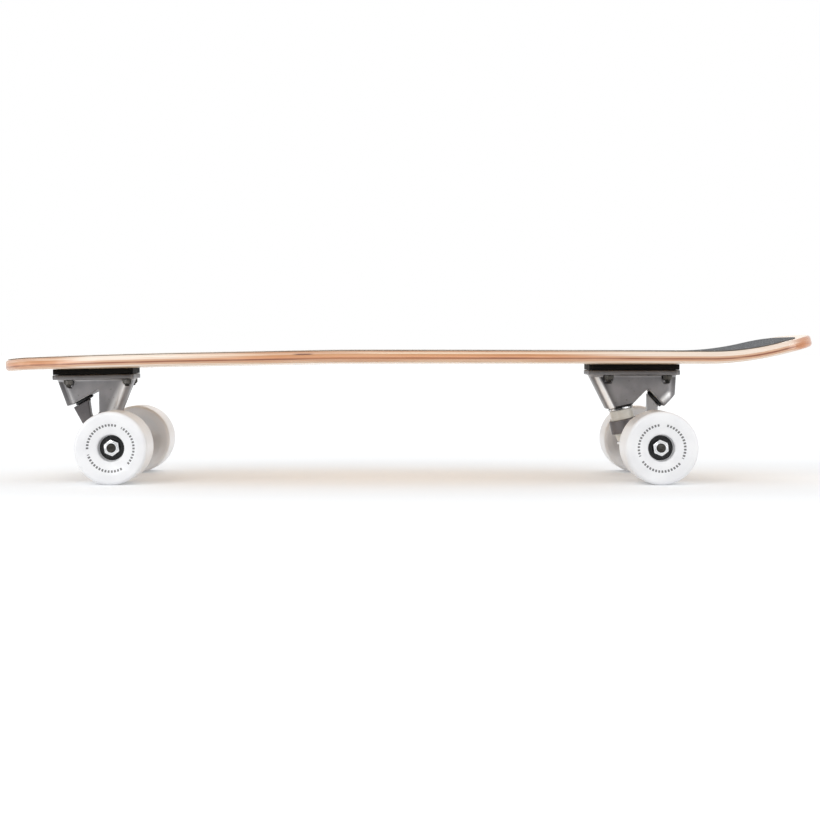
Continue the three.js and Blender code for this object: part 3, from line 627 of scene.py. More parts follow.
def grip_paint():
    paint = Paint("grip", "46494C", 0.9)
    grain = paint.noise(1900, 2)
    patch = paint.noise(240, 3)
    spark = paint.noise(760, 1)
    upward = paint.split(paint.node("ShaderNodeTexCoord", output="Normal"))[2]
    # The grip's cut edge is paler than its face, and that colour is lifted further as a painted highlight
    # against the shade where grip meets deck; the lift fades toward the tail
    fades_toward_tail = paint.range(paint.split(paint.place())[0], 0.12, 0.24, 1.0, 0.15)
    cut_edge_with_painted_light = paint.range(abs(upward), 0.5, 0.8, 1.0, 0.0) * fades_toward_tail
    dark = paint.mix(paint.range(patch, 0.35, 0.65), linear("34373A"), linear("4A4D51"))
    speckled = paint.mix(paint.range(grain, 0.5, 0.68, 0, 0.55), dark, linear("6C7074"))
    speckled = paint.mix(paint.range(spark, 0.70, 0.76), speckled, linear("E4E6E8"))
    paint.set("Base Color", paint.mix(cut_edge_with_painted_light, speckled, linear("F4E6D8")))
    paint.set("Roughness", paint.range(grain, 0.4, 0.7, 0.95, 0.6))
    paint.bump(grain, 0.00035)
    return paint.material


def rubber_paint():
    paint = Paint("riser", "090706", 0.7, Specular_IOR_Level=0.12)
    cloud = paint.noise(60, 4)
    paint.set("Base Color", paint.mix(cloud, linear("060504"), linear("0F0D0B")))
    paint.set("Roughness", paint.range(cloud, 0.3, 0.7, 0.55, 0.75))
    paint.bump(paint.noise(900, 2), 0.00006)
    return paint.material


def casting_paint(name, dark, light, roughness):
    paint = Paint(name, light, roughness, 0.9)
    cloud = paint.noise(70, 4)
    sand = paint.noise(1500, 2)
    pit = paint.noise(420, 2)
    body = paint.mix(paint.range(cloud, 0.3, 0.7), linear(dark), linear(light))
    # Painted light: where the attribute read here is positive, the metal turns toward a painted highlight;
    # where it is negative, toward a painted shade
    mark = paint.node("ShaderNodeAttribute", {"attribute_name": "polish"}, output="Fac")
    body = paint.mix(paint.range(mark, 0.0, 1.0), body, linear("F0EFEE"))
    body = paint.mix(paint.range(0 - mark, 0.0, 1.0), body, linear("1A1819"))
    paint.set("Base Color", paint.mix(paint.range(pit, 0.68, 0.74, 0, 0.5), body, linear("2E2C2C")))
    paint.set("Roughness", paint.range(cloud, 0.3, 0.7, roughness - 0.06, roughness + 0.08) - mark * 0.1)
    paint.bump(sand * 0.6 + cloud * 0.4, 0.00007)
    return paint.material


def steel_paint(name, colour, worn, roughness, dark_reflection_share=0):
    paint = Paint(name, colour, roughness, 1.0)
    cloud = paint.noise(180, 4)
    fine = paint.noise(2600, 2)
    metal = paint.mix(paint.range(cloud, 0.4, 0.75), linear(colour), linear(worn))
    # Painted reflection: dark patches over the part of the metal where the cloud is low, as strong as the
    # share given
    reflection_patches = paint.range(cloud, 0.5, 0.56, dark_reflection_share, 0)
    paint.set("Base Color", paint.mix(reflection_patches, metal, linear("1E1C1A")))
    paint.set("Roughness", paint.range(fine, 0.3, 0.7, roughness - 0.05, roughness + 0.07))
    paint.bump(fine, 0.00001)
    return paint.material


def cup_paint():
    paint = Paint("pivot_cup", "141415", 0.45)
    fine = paint.noise(700, 3)
    paint.set("Base Color", paint.mix(fine, linear("0D0D0E"), linear("1C1C1E")))
    paint.set("Roughness", paint.range(fine, 0.3, 0.7, 0.4, 0.6))
    paint.bump(fine, 0.00002)
    return paint.material


def bushing_paint():
    paint = Paint("bushing", "E2E0D8", 0.38, Coat_Weight=0.2, Coat_Roughness=0.3)
    cloud = paint.noise(160, 4)
    paint.set("Base Color", paint.mix(paint.range(cloud, 0.3, 0.7), linear("DBD8CF"), linear("E8E6DF")))
    paint.set("Roughness", paint.range(cloud, 0.3, 0.7, 0.32, 0.46))
    paint.bump(paint.noise(1100, 2), 0.00003)
    return paint.material


def urethane_paint():
    """White urethane, with a ring of plain dashes printed on the outer face."""
    paint = Paint("wheel_urethane", "F0F0F2", 0.32, Coat_Weight=0.25, Coat_Roughness=0.25)
    across, along, _ = paint.split(paint.node("ShaderNodeUVMap", {"uv_map": "face"}))
    radius = across.maths("SQRT", across * across + along * along)
    turn = across.maths("ARCTAN2", along, across) / math.tau + 0.5
    place = turn * 46
    dash = place.maths("FRACT", place)
    group = turn.maths("FRACT", turn * 3 + 0.08)
    tall = paint.range(radius, 19.1, 19.4) * paint.range(radius, 21.2, 21.5, 1.0, 0.0)
    wide = paint.range(dash, 0.1, 0.2) * paint.range(dash, 0.68, 0.78, 1.0, 0.0)
    printed = paint.range(group, 0.10, 0.12) * tall * wide
    cloud = paint.noise(45, 3)
    white = paint.mix(paint.range(cloud, 0.3, 0.7), linear("ECECEE"), linear("F5F5F6"))
    paint.set("Base Color", paint.mix(printed * 0.85, white, linear("1C1C1E")))
    paint.set("Roughness", paint.range(cloud, 0.3, 0.7, 0.28, 0.4))
    paint.bump(paint.noise(500, 3), 0.00003)
    return paint.material


def shield_paint():
    paint = Paint("bearing_shield", "131315", 0.35)
    fine = paint.noise(800, 3)
    paint.set("Base Color", paint.mix(fine, linear("0B0B0C"), linear("1A1A1D")))
    paint.set("Roughness", paint.range(fine, 0.3, 0.7, 0.28, 0.45))
    paint.bump(fine, 0.00002)
    return paint.material


def add_surroundings():
    """A white surround that lights the part softly, and a pale floor that keeps its shadow."""
    world = bpy.data.worlds.new("surround")
    bpy.context.scene.world = world
    world.use_nodes = True
    sky = Nodes(world.node_tree)
    kinds = ("Camera", "Glossy", "Transmission")
    camera, glossy, through = [sky.node("ShaderNodeLightPath", output=f"Is {kind} Ray") for kind in kinds]
    shown = camera.maths("MAXIMUM", camera.maths("MAXIMUM", camera, glossy), through)
    strength = sky.node("ShaderNodeMapRange", {}, {"Value": shown, "To Min": SKY_LIGHT, "To Max": SKY_SHOWN})
    background = sky.tree.nodes["Background"]
    sky.join((1, 1, 1, 1), background.inputs["Color"])
    sky.join(strength, background.inputs["Strength"])

    paint = Paint("floor", "F1F3F5", 0.8, Specular_IOR_Level=0.0)
    seen = paint.node("ShaderNodeLightPath", output="Is Camera Ray")
    mirrored = paint.node("ShaderNodeLightPath", output="Is Glossy Ray")
    reach = paint.node("ShaderNodeVectorMath", {"operation": "LENGTH"}, {0: paint.place()}, output="Value")
    strength = seen * paint.range(reach, 0.7, 3.0, 0.2, 0.5) + mirrored * 0.35
    glow = paint.node("ShaderNodeEmission", {}, {"Color": (1, 1, 1, 1), "Strength": strength})
    both = paint.node("ShaderNodeAddShader", {}, {0: Wire(paint, paint.shader.outputs[0]), 1: glow})
    paint.join(both, paint.tree.nodes["Material Output"].inputs["Surface"])
    bpy.ops.object.select_all(action="DESELECT")
    bpy.ops.mesh.primitive_circle_add(vertices=64, radius=30, fill_type="NGON")
    floor = bpy.context.object
    floor.name = "floor"
    floor.data.materials.append(paint.material)


PAINTS = {
    "maple": maple_paint(),
    "grip": grip_paint(),
    "riser": rubber_paint(),
    "casting": casting_paint("casting", "7A7879", "8E8C8D", 0.40),
    "hanger_casting": casting_paint("hanger_casting", "5B5859", "6E6B6C", 0.42),
    "bright_steel": steel_paint("bright_steel", "E0E1E3", "EFEFF0", 0.24),
    "dark_steel": steel_paint("dark_steel", "3B3936", "5E5C59", 0.38),
    # bright steel with painted dark reflections, for the board side's washer
    "steel_with_painted_reflections": steel_paint("steel_with_painted_reflections", "E0E1E3", "EFEFF0", 0.24, 0.9),
    "pivot_cup": cup_paint(),
    "bushing": bushing_paint(),
    "wheel_urethane": urethane_paint(),
    "bearing_shield": shield_paint(),
}
add_surroundings()

# Deck and grip tape


def bend_rise(distance, length, angle):
    slope = math.tan(angle)
    if distance <= 0:
        return 0
    if distance < length:
        return slope * distance * distance / (2 * length)
    return slope * (distance - length / 2)


def deck_top(x):
    front_start = FRONT_AXLE_X + FRONT_BEND_FROM_AXLE + FRONT_BEND / 2
    nose_start = NOSE_BEND_FROM_TIP - DECK_LENGTH / 2 + NOSE_BEND / 2
    front = bend_rise(front_start - x, FRONT_BEND, FRONT_DROP)
    nose = bend_rise(nose_start - x, NOSE_BEND, NOSE_DROP)
    return FLAT_TOP - front - nose + bend_rise(x - KICK_START, KICK_BEND, KICK)


def deck_slope(x):
    step = 0.2
    return math.atan2(deck_top(x + step) - deck_top(x - step), 2 * step)


def deck_half_width(x):
    tail_start = DECK_BACK - TAIL_ROUND
    ahead = x < -WIDEST_FROM_MIDDLE
    narrowing = NOSE_NARROWING if ahead else TAIL_NARROWING
    from_widest = (x + WIDEST_FROM_MIDDLE) / ((DECK_FRONT if ahead else tail_start) + WIDEST_FROM_MIDDLE)
    body = (DECK_WIDTH - narrowing * from_widest ** 2) / 2
    nose_share = min(max((DECK_FRONT + NOSE_ROUND - x) / NOSE_ROUND, 0), 1)
    tail_share = min(max((x - tail_start) / TAIL_ROUND, 0), 1)
    nose = math.sqrt(1 - nose_share ** NOSE_SQUARENESS)
    tail = math.sqrt(1 - tail_share ** TAIL_SQUARENESS)
    front = NOSE_TIP_HALF_WIDTH + (body - NOSE_TIP_HALF_WIDTH) * nose
    return TAIL_TIP_HALF_WIDTH + (front - TAIL_TIP_HALF_WIDTH) * tail


def concave(y):
    share = max(abs(y) - FLAT_HALF_WIDTH, 0) / (DECK_WIDTH / 2 - FLAT_HALF_WIDTH)
    return RAIL_RISE * share * share


def tip_row(half_width, steps):
    """Points along one end of the deck from its middle out, bowed a little."""
    places = [half_width * i / steps for i in range(steps)]
    return [(TIP_BULGE * (1 - (y / half_width) ** 2), y) for y in places]


def deck_outline(nose_steps=44, straight_steps=34, tail_steps=56):
    """Half of the outline in plan, from nose to tail, with the outward direction at each point."""
    nose_turns = [math.pi / 2 * i / nose_steps for i in range(nose_steps + 1)]
    tail_turns = [math.pi / 2 * i / tail_steps for i in range(tail_steps + 1)]
    nose = [DECK_FRONT + NOSE_ROUND * (1 - math.cos(a)) for a in nose_turns]
    tail = [DECK_BACK - (DECK_BACK - KICK_START) * (1 - math.cos(a)) for a in reversed(tail_turns)]
    gap = tail[0] - nose[-1]
    straight = [nose[-1] + gap * i / straight_steps for i in range(1, straight_steps)]
    points = [(DECK_FRONT - out, y) for out, y in tip_row(NOSE_TIP_HALF_WIDTH, 3)]
    points += [(x, deck_half_width(x)) for x in nose + straight + tail]
    points += [(DECK_BACK + out, y) for out, y in reversed(tip_row(TAIL_TIP_HALF_WIDTH, 7))]
    points = [(x * (1 - TIP_BULGE / DECK_BACK), y * WIDTH_SHARE) for x, y in points]
    result = []
    for i, (x, y) in enumerate(points):
        before = points[i - 1] if i else (points[1][0], -points[1][1])
        after = points[i + 1] if i + 1 < len(points) else (points[-2][0], -points[-2][1])
        along = Vector((after[0] - before[0], after[1] - before[1])).normalized()
        result.append((x, y, -along.y, along.x))
    return result


def deck_sheet(name, top, bottom, inset, edge, tail_inset=0, across=28):
    """A closed sheet that follows the deck between two heights, drawn in from the outline."""
    outline = deck_outline()
    rim = [(edge - edge * math.sin(a), top - edge + edge * math.cos(a)) for a in
           [math.pi / 2 * i / 5 for i in range(6)]]
    rim += [(edge - edge * math.cos(a), bottom + edge - edge * math.sin(a)) for a in
            [math.pi / 2 * i / 5 for i in range(6)]]
    shares = [2 * i / across - 1 for i in range(1, across)]
    ring = [(1, drawn, height) for drawn, height in rim]
    ring += [(-share, edge, bottom) for share in shares]
    ring += [(-1, drawn, height) for drawn, height in reversed(rim)]
    ring += [(share, edge, top) for share in shares]
    ring.append(ring[0])
    bpy.ops.object.select_all(action="DESELECT")
    bpy.ops.mesh.primitive_grid_add(x_subdivisions=len(ring) - 1, y_subdivisions=len(outline) - 1, size=2)
    piece = bpy.context.object
    squeeze = tail_inset / TAIL_ROUND
    for row, (x, y, out_x, out_y) in enumerate(outline):
        for column, (side, drawn, height) in enumerate(ring):
            depth = drawn + inset
            place = x - depth * out_x
            place -= squeeze * max(place - DECK_BACK + TAIL_ROUND, 0)
            spread = side * max(y - depth * out_y, 0)
            slope = deck_slope(place)
            z = deck_top(place) + concave(spread)
            point = (place - height * math.sin(slope), spread, z + height * math.cos(slope))
            piece.data.vertices[row * len(ring) + column].co = point
    select_only(piece)
    bpy.ops.object.mode_set(mode="EDIT")
    return close_up(name)


def bolt_matrix(truck, index):
    x, y = [(BOLT_X, -BOLT_Y), (BOLT_X, BOLT_Y), (-BOLT_X, -BOLT_Y), (-BOLT_X, BOLT_Y)][index]
    return truck @ Matrix.Translation((x, y, 0))


def truck_matrix(sizes):
    """The place and tilt of a truck's own axes on the deck's underside."""
    front = sizes is FRONT
    axle_x, outward = (FRONT_AXLE_X, -1) if front else (REAR_AXLE_X, 1)
    pattern_x = axle_x - outward * sizes["axle_from_pattern"]
    tilt = deck_slope(pattern_x)
    drop = RISER_STACK + DECK_THICKNESS
    place = (pattern_x + drop * math.sin(tilt), 0, deck_top(pattern_x) - drop * math.cos(tilt))
    about = Matrix.Rotation(math.pi if front else 0, 4, "Z")
    return Matrix.Translation(place) @ Matrix.Rotation(-tilt, 4, "Y") @ about


TRUCKS = [(FRONT, truck_matrix(FRONT)), (REAR, truck_matrix(REAR))]
HEAD_TOP = RISER_STACK + DECK_THICKNESS + FIT + GRIP_THICKNESS


def bolt_hole():
    radius, head = BOLT_RADIUS + FIT, BOLT_HEAD_RADIUS + FIT
    return turned("hole", [
        (0, -20), (radius, -20), (radius, HEAD_TOP - BOLT_HEAD_HEIGHT),
        (head, HEAD_TOP), (head, HEAD_TOP + 10), (0, HEAD_TOP + 10),
    ], 32)


def drill(piece):
    for _, truck in TRUCKS:
        for index in range(4):
            cut(piece, move(bolt_hole(), bolt_matrix(truck, index)))
    return piece


def mark_depth(piece):
    """Keeps how deep each point lies in the deck, from 0 at its top to 1 at its underside."""
    depths = piece.data.attributes.new("depth", "FLOAT", "POINT")
    for i, vertex in enumerate(piece.data.vertices):
        x, y, z = vertex.co
        fall = (deck_top(x) + concave(y) - z) * math.cos(deck_slope(x))
        depths.data[i].value = min(max(fall / DECK_THICKNESS, 0), 1)
    return piece


HERE = Matrix.Identity(4)
OVER = Matrix.Rotation(math.pi, 4, "X")
deck = mark_depth(drill(deck_sheet("deck_boards", 0, -DECK_THICKNESS, 0, DECK_EDGE_ROUND)))
finish(deck, "deck_boards", HERE, "board", PAINTS["maple"], ["deck"])
tape = drill(deck_sheet("grip_sheet", FIT + GRIP_THICKNESS, FIT, GRIP_INSET, 0.25, GRIP_SHORT_OF_TAIL))
finish(tape, "grip_sheet", HERE, "board", PAINTS["grip"], ["grip_tape"])

# Fasteners, each modelled once


def hexagon(name, flats, height):
    """A hexagon about Z with its corners turned off at both ends."""
    bpy.ops.object.select_all(action="DESELECT")
    bpy.ops.mesh.primitive_cylinder_add(vertices=6, radius=flats / math.sqrt(3), depth=height)
    piece = bpy.context.object
    piece.name = name
    move(piece, raised(height / 2))
    inner, outer = flats * 0.475, flats * 0.62
    slant = (outer - inner) * math.tan(math.radians(30))
    shell = turned("shell", [
        (0, 0), (inner, 0), (outer, slant), (outer, height - slant), (inner, height), (0, height),
    ], 64)
    return combine(piece, "INTERSECT", shell)


def lock_nut(name, flats, height, bore):
    """A hexagon with a round collar at its outer end."""
    collar = height * 0.2
    nut = hexagon(name, flats, height - collar)
    wide = flats * 0.43
    ring = turned("ring", [
        (0, height / 2), (wide, height / 2), (wide, height - collar * 0.45), *arc(
            (wide - collar * 0.55, height - collar * 0.55), collar * 0.55, 0, 90, 4),
        (bore + 0.3, height), (bore + 0.3, height - 0.4), (0, height - 0.4),
    ], 48)
    join(nut, ring)
    return cut(nut, rod("bore", bore, -1, height + 1, 40))


def threads(radius, start, end, pitch=1.0, depth=0.35):
    """Points of radius and height along a threaded length, from one height up or down to another."""
    count = max(int(abs(end - start) / pitch), 1)
    step = (end - start) / count
    points = []
    for i in range(count):
        points += [(radius, start + step * i), (radius - depth, start + step * (i + 0.5))]
    return points + [(radius, end)]


def mounting_bolt():
    """A countersunk bolt with a cross recess, its head level with the grip."""
    end = -PLATE_THICKNESS - FIT - BOLT_NUT_HEIGHT - BOLT_STICK_OUT
    bolt = turned("bolt", [
        (0, end), (BOLT_RADIUS - 0.5, end), *threads(BOLT_RADIUS, end + 0.5, -PLATE_THICKNESS, 0.8, 0.3),
        (BOLT_RADIUS, HEAD_TOP - BOLT_HEAD_HEIGHT), (BOLT_HEAD_RADIUS, HEAD_TOP - 0.35),
        (BOLT_HEAD_RADIUS - 0.2, HEAD_TOP - 0.1), (BOLT_HEAD_RADIUS - 0.8, HEAD_TOP), (0, HEAD_TOP),
    ], 40)
    for turn in (0, math.pi / 2):
        bpy.ops.object.select_all(action="DESELECT")
        bpy.ops.mesh.primitive_cube_add(size=1)
        wing = bpy.context.object
        bpy.ops.object.mode_set(mode="EDIT")
        bpy.ops.transform.resize(value=(5, 1, 3.4))
        bpy.ops.object.mode_set(mode="OBJECT")
        for vertex in wing.data.vertices:
            if vertex.co.z < 0:
                vertex.co.x *= 0.3
                vertex.co.y *= 0.8
        move(wing, raised(HEAD_TOP) @ Matrix.Rotation(turn, 4, "Z"))
        cut(bolt, wing)
    return bolt


def spread(model, places, label, slot, paint, smooth=35):
    """Copies a model to each place: a name, a matrix, a body and the nodes that the copy stands for."""
    for name, matrix, body, nodes in places:
        finish(copy_of(model), f"{label}_{name}", matrix, body, PAINTS[paint], nodes, smooth)
    bpy.data.objects.remove(model)


bolts = []
nuts = []
for sizes, truck in TRUCKS:
    for index in range(4):
        name = f"{sizes['end']}_{index + 1}"
        facing = Matrix.Rotation(math.radians(17 * index), 4, "Z")
        under = raised(-PLATE_THICKNESS - FIT) @ OVER
        bolts.append((name, bolt_matrix(truck, index) @ facing, "board", [f"mounting_bolt_{name}"]))
        nuts.append((name, bolt_matrix(truck, index) @ under, "board", [f"mounting_nut_{name}"]))
spread(mounting_bolt(), bolts, "deck_bolt", "dark_steel", "dark_steel")
spread(lock_nut("nut", BOLT_NUT_FLATS, BOLT_NUT_HEIGHT, BOLT_RADIUS + 0.1), nuts,
       "deck_nut", "dark_steel", "dark_steel")

# Wheels, bearings, axles and axle nuts


def wheel():
    """A wheel about Z, outboard up, with a rounded lip, a crowned face and a recess for the bearing."""
    radius, lip = AXLE_HEIGHT, 3.4
    seat = BEARING_RADIUS + 0.1
    half = WHEEL_HALF
    side = [(9.7, 4.7), (seat, 4.7), (seat, 12.4), (11.4, 12.5)]
    side += [(11.5, 15), (11.6, 18), (11.7, 20.4)]
    side += arc((13.7, 20.4), 2, 180, 104, 7)
    side += [(15, half - 2.9), (17, half - 2.35), (19, half - 1.75), (21, half - 1.1), (22.6, half - 0.6)]
    side += [(23.8, half - 0.25), (25.4, half - 0.08)]
    side += arc((radius - lip, half - lip), lip, 92, 0, 14)
    side += [(radius, half - lip - 6), (radius, 4)]
    below = [(r, -z) for r, z in side]
    piece = turned("wheel", below + side[::-1] + below[:1], 112)
    layer = piece.data.uv_layers.new(name="face")
    for face in piece.data.polygons:
        aside = 0 if face.center.z > 0 else 100
        for loop in face.loop_indices:
            corner = piece.data.vertices[piece.data.loops[loop].vertex_index].co
            layer.data[loop].uv = (corner.x + aside, corner.y)
    return piece


def bearing_ring():
    """The outer ring of a bearing about Z, its faces at zero and seven."""
    edge = 0.35
    return turned("ring", [
        (9.5, 0.2), (9.7, 0), (BEARING_RADIUS - edge, 0), (BEARING_RADIUS, edge),
        (BEARING_RADIUS, 7 - edge), (BEARING_RADIUS - edge, 7), (9.7, 7), (9.5, 6.8), (9.5, 0.2),
    ], 72)


def bearing_shield():
    """The two shields of a bearing with the body between them."""
    side = [(6.3, 3.5), (6.3, 6.35), (6.7, 6.55), (8.6, 6.6), (8.8, 6.4), (9.1, 6.4), (9.48, 6.6)]
    below = [(r, 7 - z) for r, z in side[1:]]
    return turned("shield", side + below[::-1] + side[:1], 72)


def sleeve():
    """The inner rings of both bearings and the spacer between them."""
    end = BEARING_OUTER - FIT
    side = [(4.3, end - 0.3), (4.6, end), (5.6, end), (5.9, end - 0.3), (5.9, 5.2), (5.2, 4.9)]
    below = [(r, -z) for r, z in side]
    return turned("sleeve", below + side[::-1] + below[:1], 48)


def axle_nut():
    """A lock nut with its speed washer, about Z from the washer's inner face."""
    nut = move(lock_nut("nut", AXLE_NUT_FLATS, AXLE_NUT_HEIGHT, AXLE_RADIUS + 0.1), raised(1))
    washer = turned("washer", [
        (4.3, 0), (5.9, 0), (6, 0.1), (6, 0.8), (5.8, 1.02), (4.3, 1.02), (4.3, 0),
    ], 48)
    return join(nut, washer)


def axle():
    """An axle along Z with threaded ends and the two inner speed washers."""
    tip = WHEEL_CENTRE_Y + BEARING_OUTER + 1 + AXLE_NUT_HEIGHT + AXLE_STICK_OUT
    washer, outer = HANGER_HALF + FIT, HANGER_HALF + 1
    side = [
        (0, tip - 0.5), (1.1, tip - 0.5), (1.5, tip), (AXLE_RADIUS - 0.7, tip),
        *threads(AXLE_RADIUS, tip - 0.7, tip - 13.7), (AXLE_RADIUS, outer), (6, outer), (6, washer),
        (AXLE_RADIUS, washer),
    ]
    return turned("axle", side + [(r, -z) for r, z in side[::-1]], 48)


SIDES = [("near", -1), ("far", 1)]
wheel_places = []
ring_places = []
shield_places = []
sleeve_places = []
nut_places = []
for end, axle_x in (("front", FRONT_AXLE_X), ("rear", REAR_AXLE_X)):
    for side_name, side in SIDES:
        name = f"{end}_{side_name}"
        hub = Matrix.Translation((axle_x, side * WHEEL_CENTRE_Y, AXLE_HEIGHT))
        hub = hub @ Matrix.Rotation(-side * math.pi / 2, 4, "X")
        turn = Matrix.Rotation(math.radians({"front": 12, "rear": 150}[end]), 4, "Z")
        spin_body = f"{name}_wheel"
        wheel_places.append((name, hub @ turn, spin_body, [f"wheel_{name}"]))
        for place, start in (("outboard", BEARING_INNER), ("inboard", -BEARING_OUTER)):
            seat = hub @ raised(start)
            ring_places.append((f"{place}_{name}", seat, spin_body, [f"bearing_{place}_{name}"]))
            shield_places.append((f"{place}_{name}", seat, spin_body, []))
        hanger_body = f"{end}_hanger"
        sleeve_places.append((name, hub, hanger_body, [f"bearing_sleeve_{name}"]))
        out = hub @ raised(BEARING_OUTER) @ Matrix.Rotation(math.radians(8), 4, "Z")
        nut_places.append((name, out, hanger_body, [f"axle_nut_{name}"]))
spread(wheel(), wheel_places, "cast_wheel", "wheel_urethane", "wheel_urethane", 50)
spread(bearing_ring(), ring_places, "bearing_ring", "bearing_shield", "bearing_shield")
spread(bearing_shield(), shield_places, "bearing_shield", "bearing_shield", "bearing_shield")
spread(sleeve(), sleeve_places, "inner_ring", "bright_steel", "bright_steel")
spread(axle_nut(), nut_places, "wheel_nut", "bright_steel", "bright_steel")
spread(axle(), [
    (end, Matrix.Translation((x, 0, AXLE_HEIGHT)) @ Matrix.Rotation(math.pi / 2, 4, "X"), f"{end}_hanger",
     [f"axle_{end}"]) for end, x in (("front", FRONT_AXLE_X), ("rear", REAR_AXLE_X))
], "steel_axle", "dark_steel", "dark_steel")

# Trucks


def layout(sizes, truck):
    """The named points and directions of one truck, in its own axes."""
    lean = math.radians(sizes["kingpin_tilt"])
    seat = Vector((sizes["seat"][0], 0, sizes["seat"][1]))
    up = Vector((-math.sin(lean), 0, math.cos(lean)))
    ring = seat - RING_DROP * up
    pivot = Vector((sizes["pivot"][0], 0, sizes["pivot"][1]))
    steer = (pivot - ring).normalized()
    axle_x = FRONT_AXLE_X if sizes is FRONT else REAR_AXLE_X
    return dict(
        sizes, seat_at=seat, up=up, across=Vector((math.cos(lean), 0, math.sin(lean))), ring=ring,
        pivot_at=pivot, steer=steer, socket_up=Vector((-steer.z, 0, steer.x)),
        axle_at=truck.inverted() @ Vector((axle_x, 0, AXLE_HEIGHT)),
        head_floor=-sizes["seat"][1] / math.cos(lean) - KINGPIN_HEAD_POCKET,
    )


def flat(point):
    return (point.x, point.z)


def riser(plan):
    pad = block("riser", RISER_SHRINK - plan["plate_inner"], plan["plate_outer"] - RISER_SHRINK,
                PLATE_HALF_WIDTH - RISER_SHRINK, PLATE_CORNER, FIT + RISER_THICKNESS, FIT)
    apply(pad, "BEVEL", width=0.5, segments=3, limit_method="ANGLE", angle_limit=math.radians(60))
    for index in range(4):
        cut(pad, move(rod("hole", BOLT_RADIUS + FIT, -2, 9, 24), bolt_matrix(HERE, index)))
    return pad


def baseplate(plan):
    """The cast baseplate: a plate, a tapering body with a notch, the pivot socket and the kingpin's bore."""
    body = block("body", -plan["top_inner"], plan["top_outer"], plan["top_half"], plan["corner"],
                 -PLATE_THICKNESS / 2, -plan["foot_drop"],
                 (-plan["foot_inner"], plan["foot_outer"], plan["foot_half"]))
    seat, across, pivot, socket_up = plan["seat_at"], plan["across"], plan["pivot_at"], plan["socket_up"]
    heel_turn = math.radians(plan["heel_angle"])
    heel = pivot - plan["to_heel"] * socket_up
    heel_way = Vector((math.cos(heel_turn), 0, math.sin(heel_turn)))
    heel_end = heel + (6 + plan["top_outer"] - heel.x) * heel_way
    seat_inner = seat - plan["seat_length"] / 2 * across
    seat_outer = seat + plan["seat_length"] / 2 * across
    apex = pivot + plan["to_apex"] * socket_up
    notch = slab("notch", [
        (-90, -90), (90, -90), (90, heel_end.z), flat(heel_end), flat(heel),
        *eased(heel, apex, seat_outer, plan["apex_round"]), flat(seat_outer), flat(seat_inner),
        (-90, seat_inner.z),
    ], 60)
    cut(body, notch)
    drop = PLATE_THICKNESS + FIT + BOLT_NUT_HEIGHT + BOLT_STICK_OUT + NUT_POCKET_MARGIN
    pocket_radius = BOLT_NUT_FLATS / math.sqrt(3) + NUT_POCKET_MARGIN
    for index in range(4):
        cut(body, move(rod("pocket", pocket_radius, -drop, -PLATE_THICKNESS, 40), bolt_matrix(HERE, index)))
    plate = block("plate", -plan["plate_inner"], plan["plate_outer"], PLATE_HALF_WIDTH, PLATE_CORNER,
                  0, -PLATE_THICKNESS)
    join(body, plate)
    for index in range(4):
        cut(body, move(rod("hole", BOLT_RADIUS + FIT, -20, 20, 24), bolt_matrix(HERE, index)))
    stack = aimed(seat, plan["up"])
    cut(body,
        move(rod("bore", KINGPIN_RADIUS + FIT, -6, plan["head_floor"] + 6), stack),
        move(rod("pocket", KINGPIN_POCKET_RADIUS, plan["head_floor"], plan["head_floor"] + 24), stack),
        move(rod("socket", CUP_RADIUS + FIT, -6, CUP_DEPTH + FIT), aimed(pivot, plan["steer"])))
    return polish(cast(body), plan, heel, heel_way)


def arm_outline(plan):
    pivot, steer, socket_up = plan["pivot_at"], plan["steer"], plan["socket_up"]
    ring, up, across = plan["ring"], plan["up"], plan["across"]
    top = pivot - ARM_GAP * steer
    inner = top + plan["arm_inner"] * socket_up
    outer = top - plan["arm_outer"] * socket_up
    foot = ring.lerp(plan["axle_at"], plan["foot_share"])
    return [
        flat(outer), flat(inner), (inner.x + plan["arm_lean"], inner.z - plan["arm_drop"]),
        flat(ring + plan["rib_reach"] * across + plan["rib_height"] * up), flat(ring),
        flat(foot - plan["foot_depth"] * up), flat(foot + plan["foot_reach"] * across),
    ]


def gusset(plan):
    """The three-cornered web from the ring to the crossbar, drawn flat and then laid along its slope."""
    reach = plan["axle_at"] - plan["ring"]
    web = slab("web", [(0, -12), (reach.length, -47), (reach.length, 47), (0, 12)], 4)
    upright = Matrix.Rotation(-math.pi / 2, 4, "X")
    slope = Matrix.Rotation(-math.atan2(reach.z, reach.x), 4, "Y")
    return move(web, Matrix.Translation(plan["ring"]) @ slope @ upright)


def swing_room(radius, swing, bottom, top):
    """A slot with round ends for a piece that swings sideways."""
    return block("room", -radius, radius, radius + swing, radius - 0.01, top, bottom)


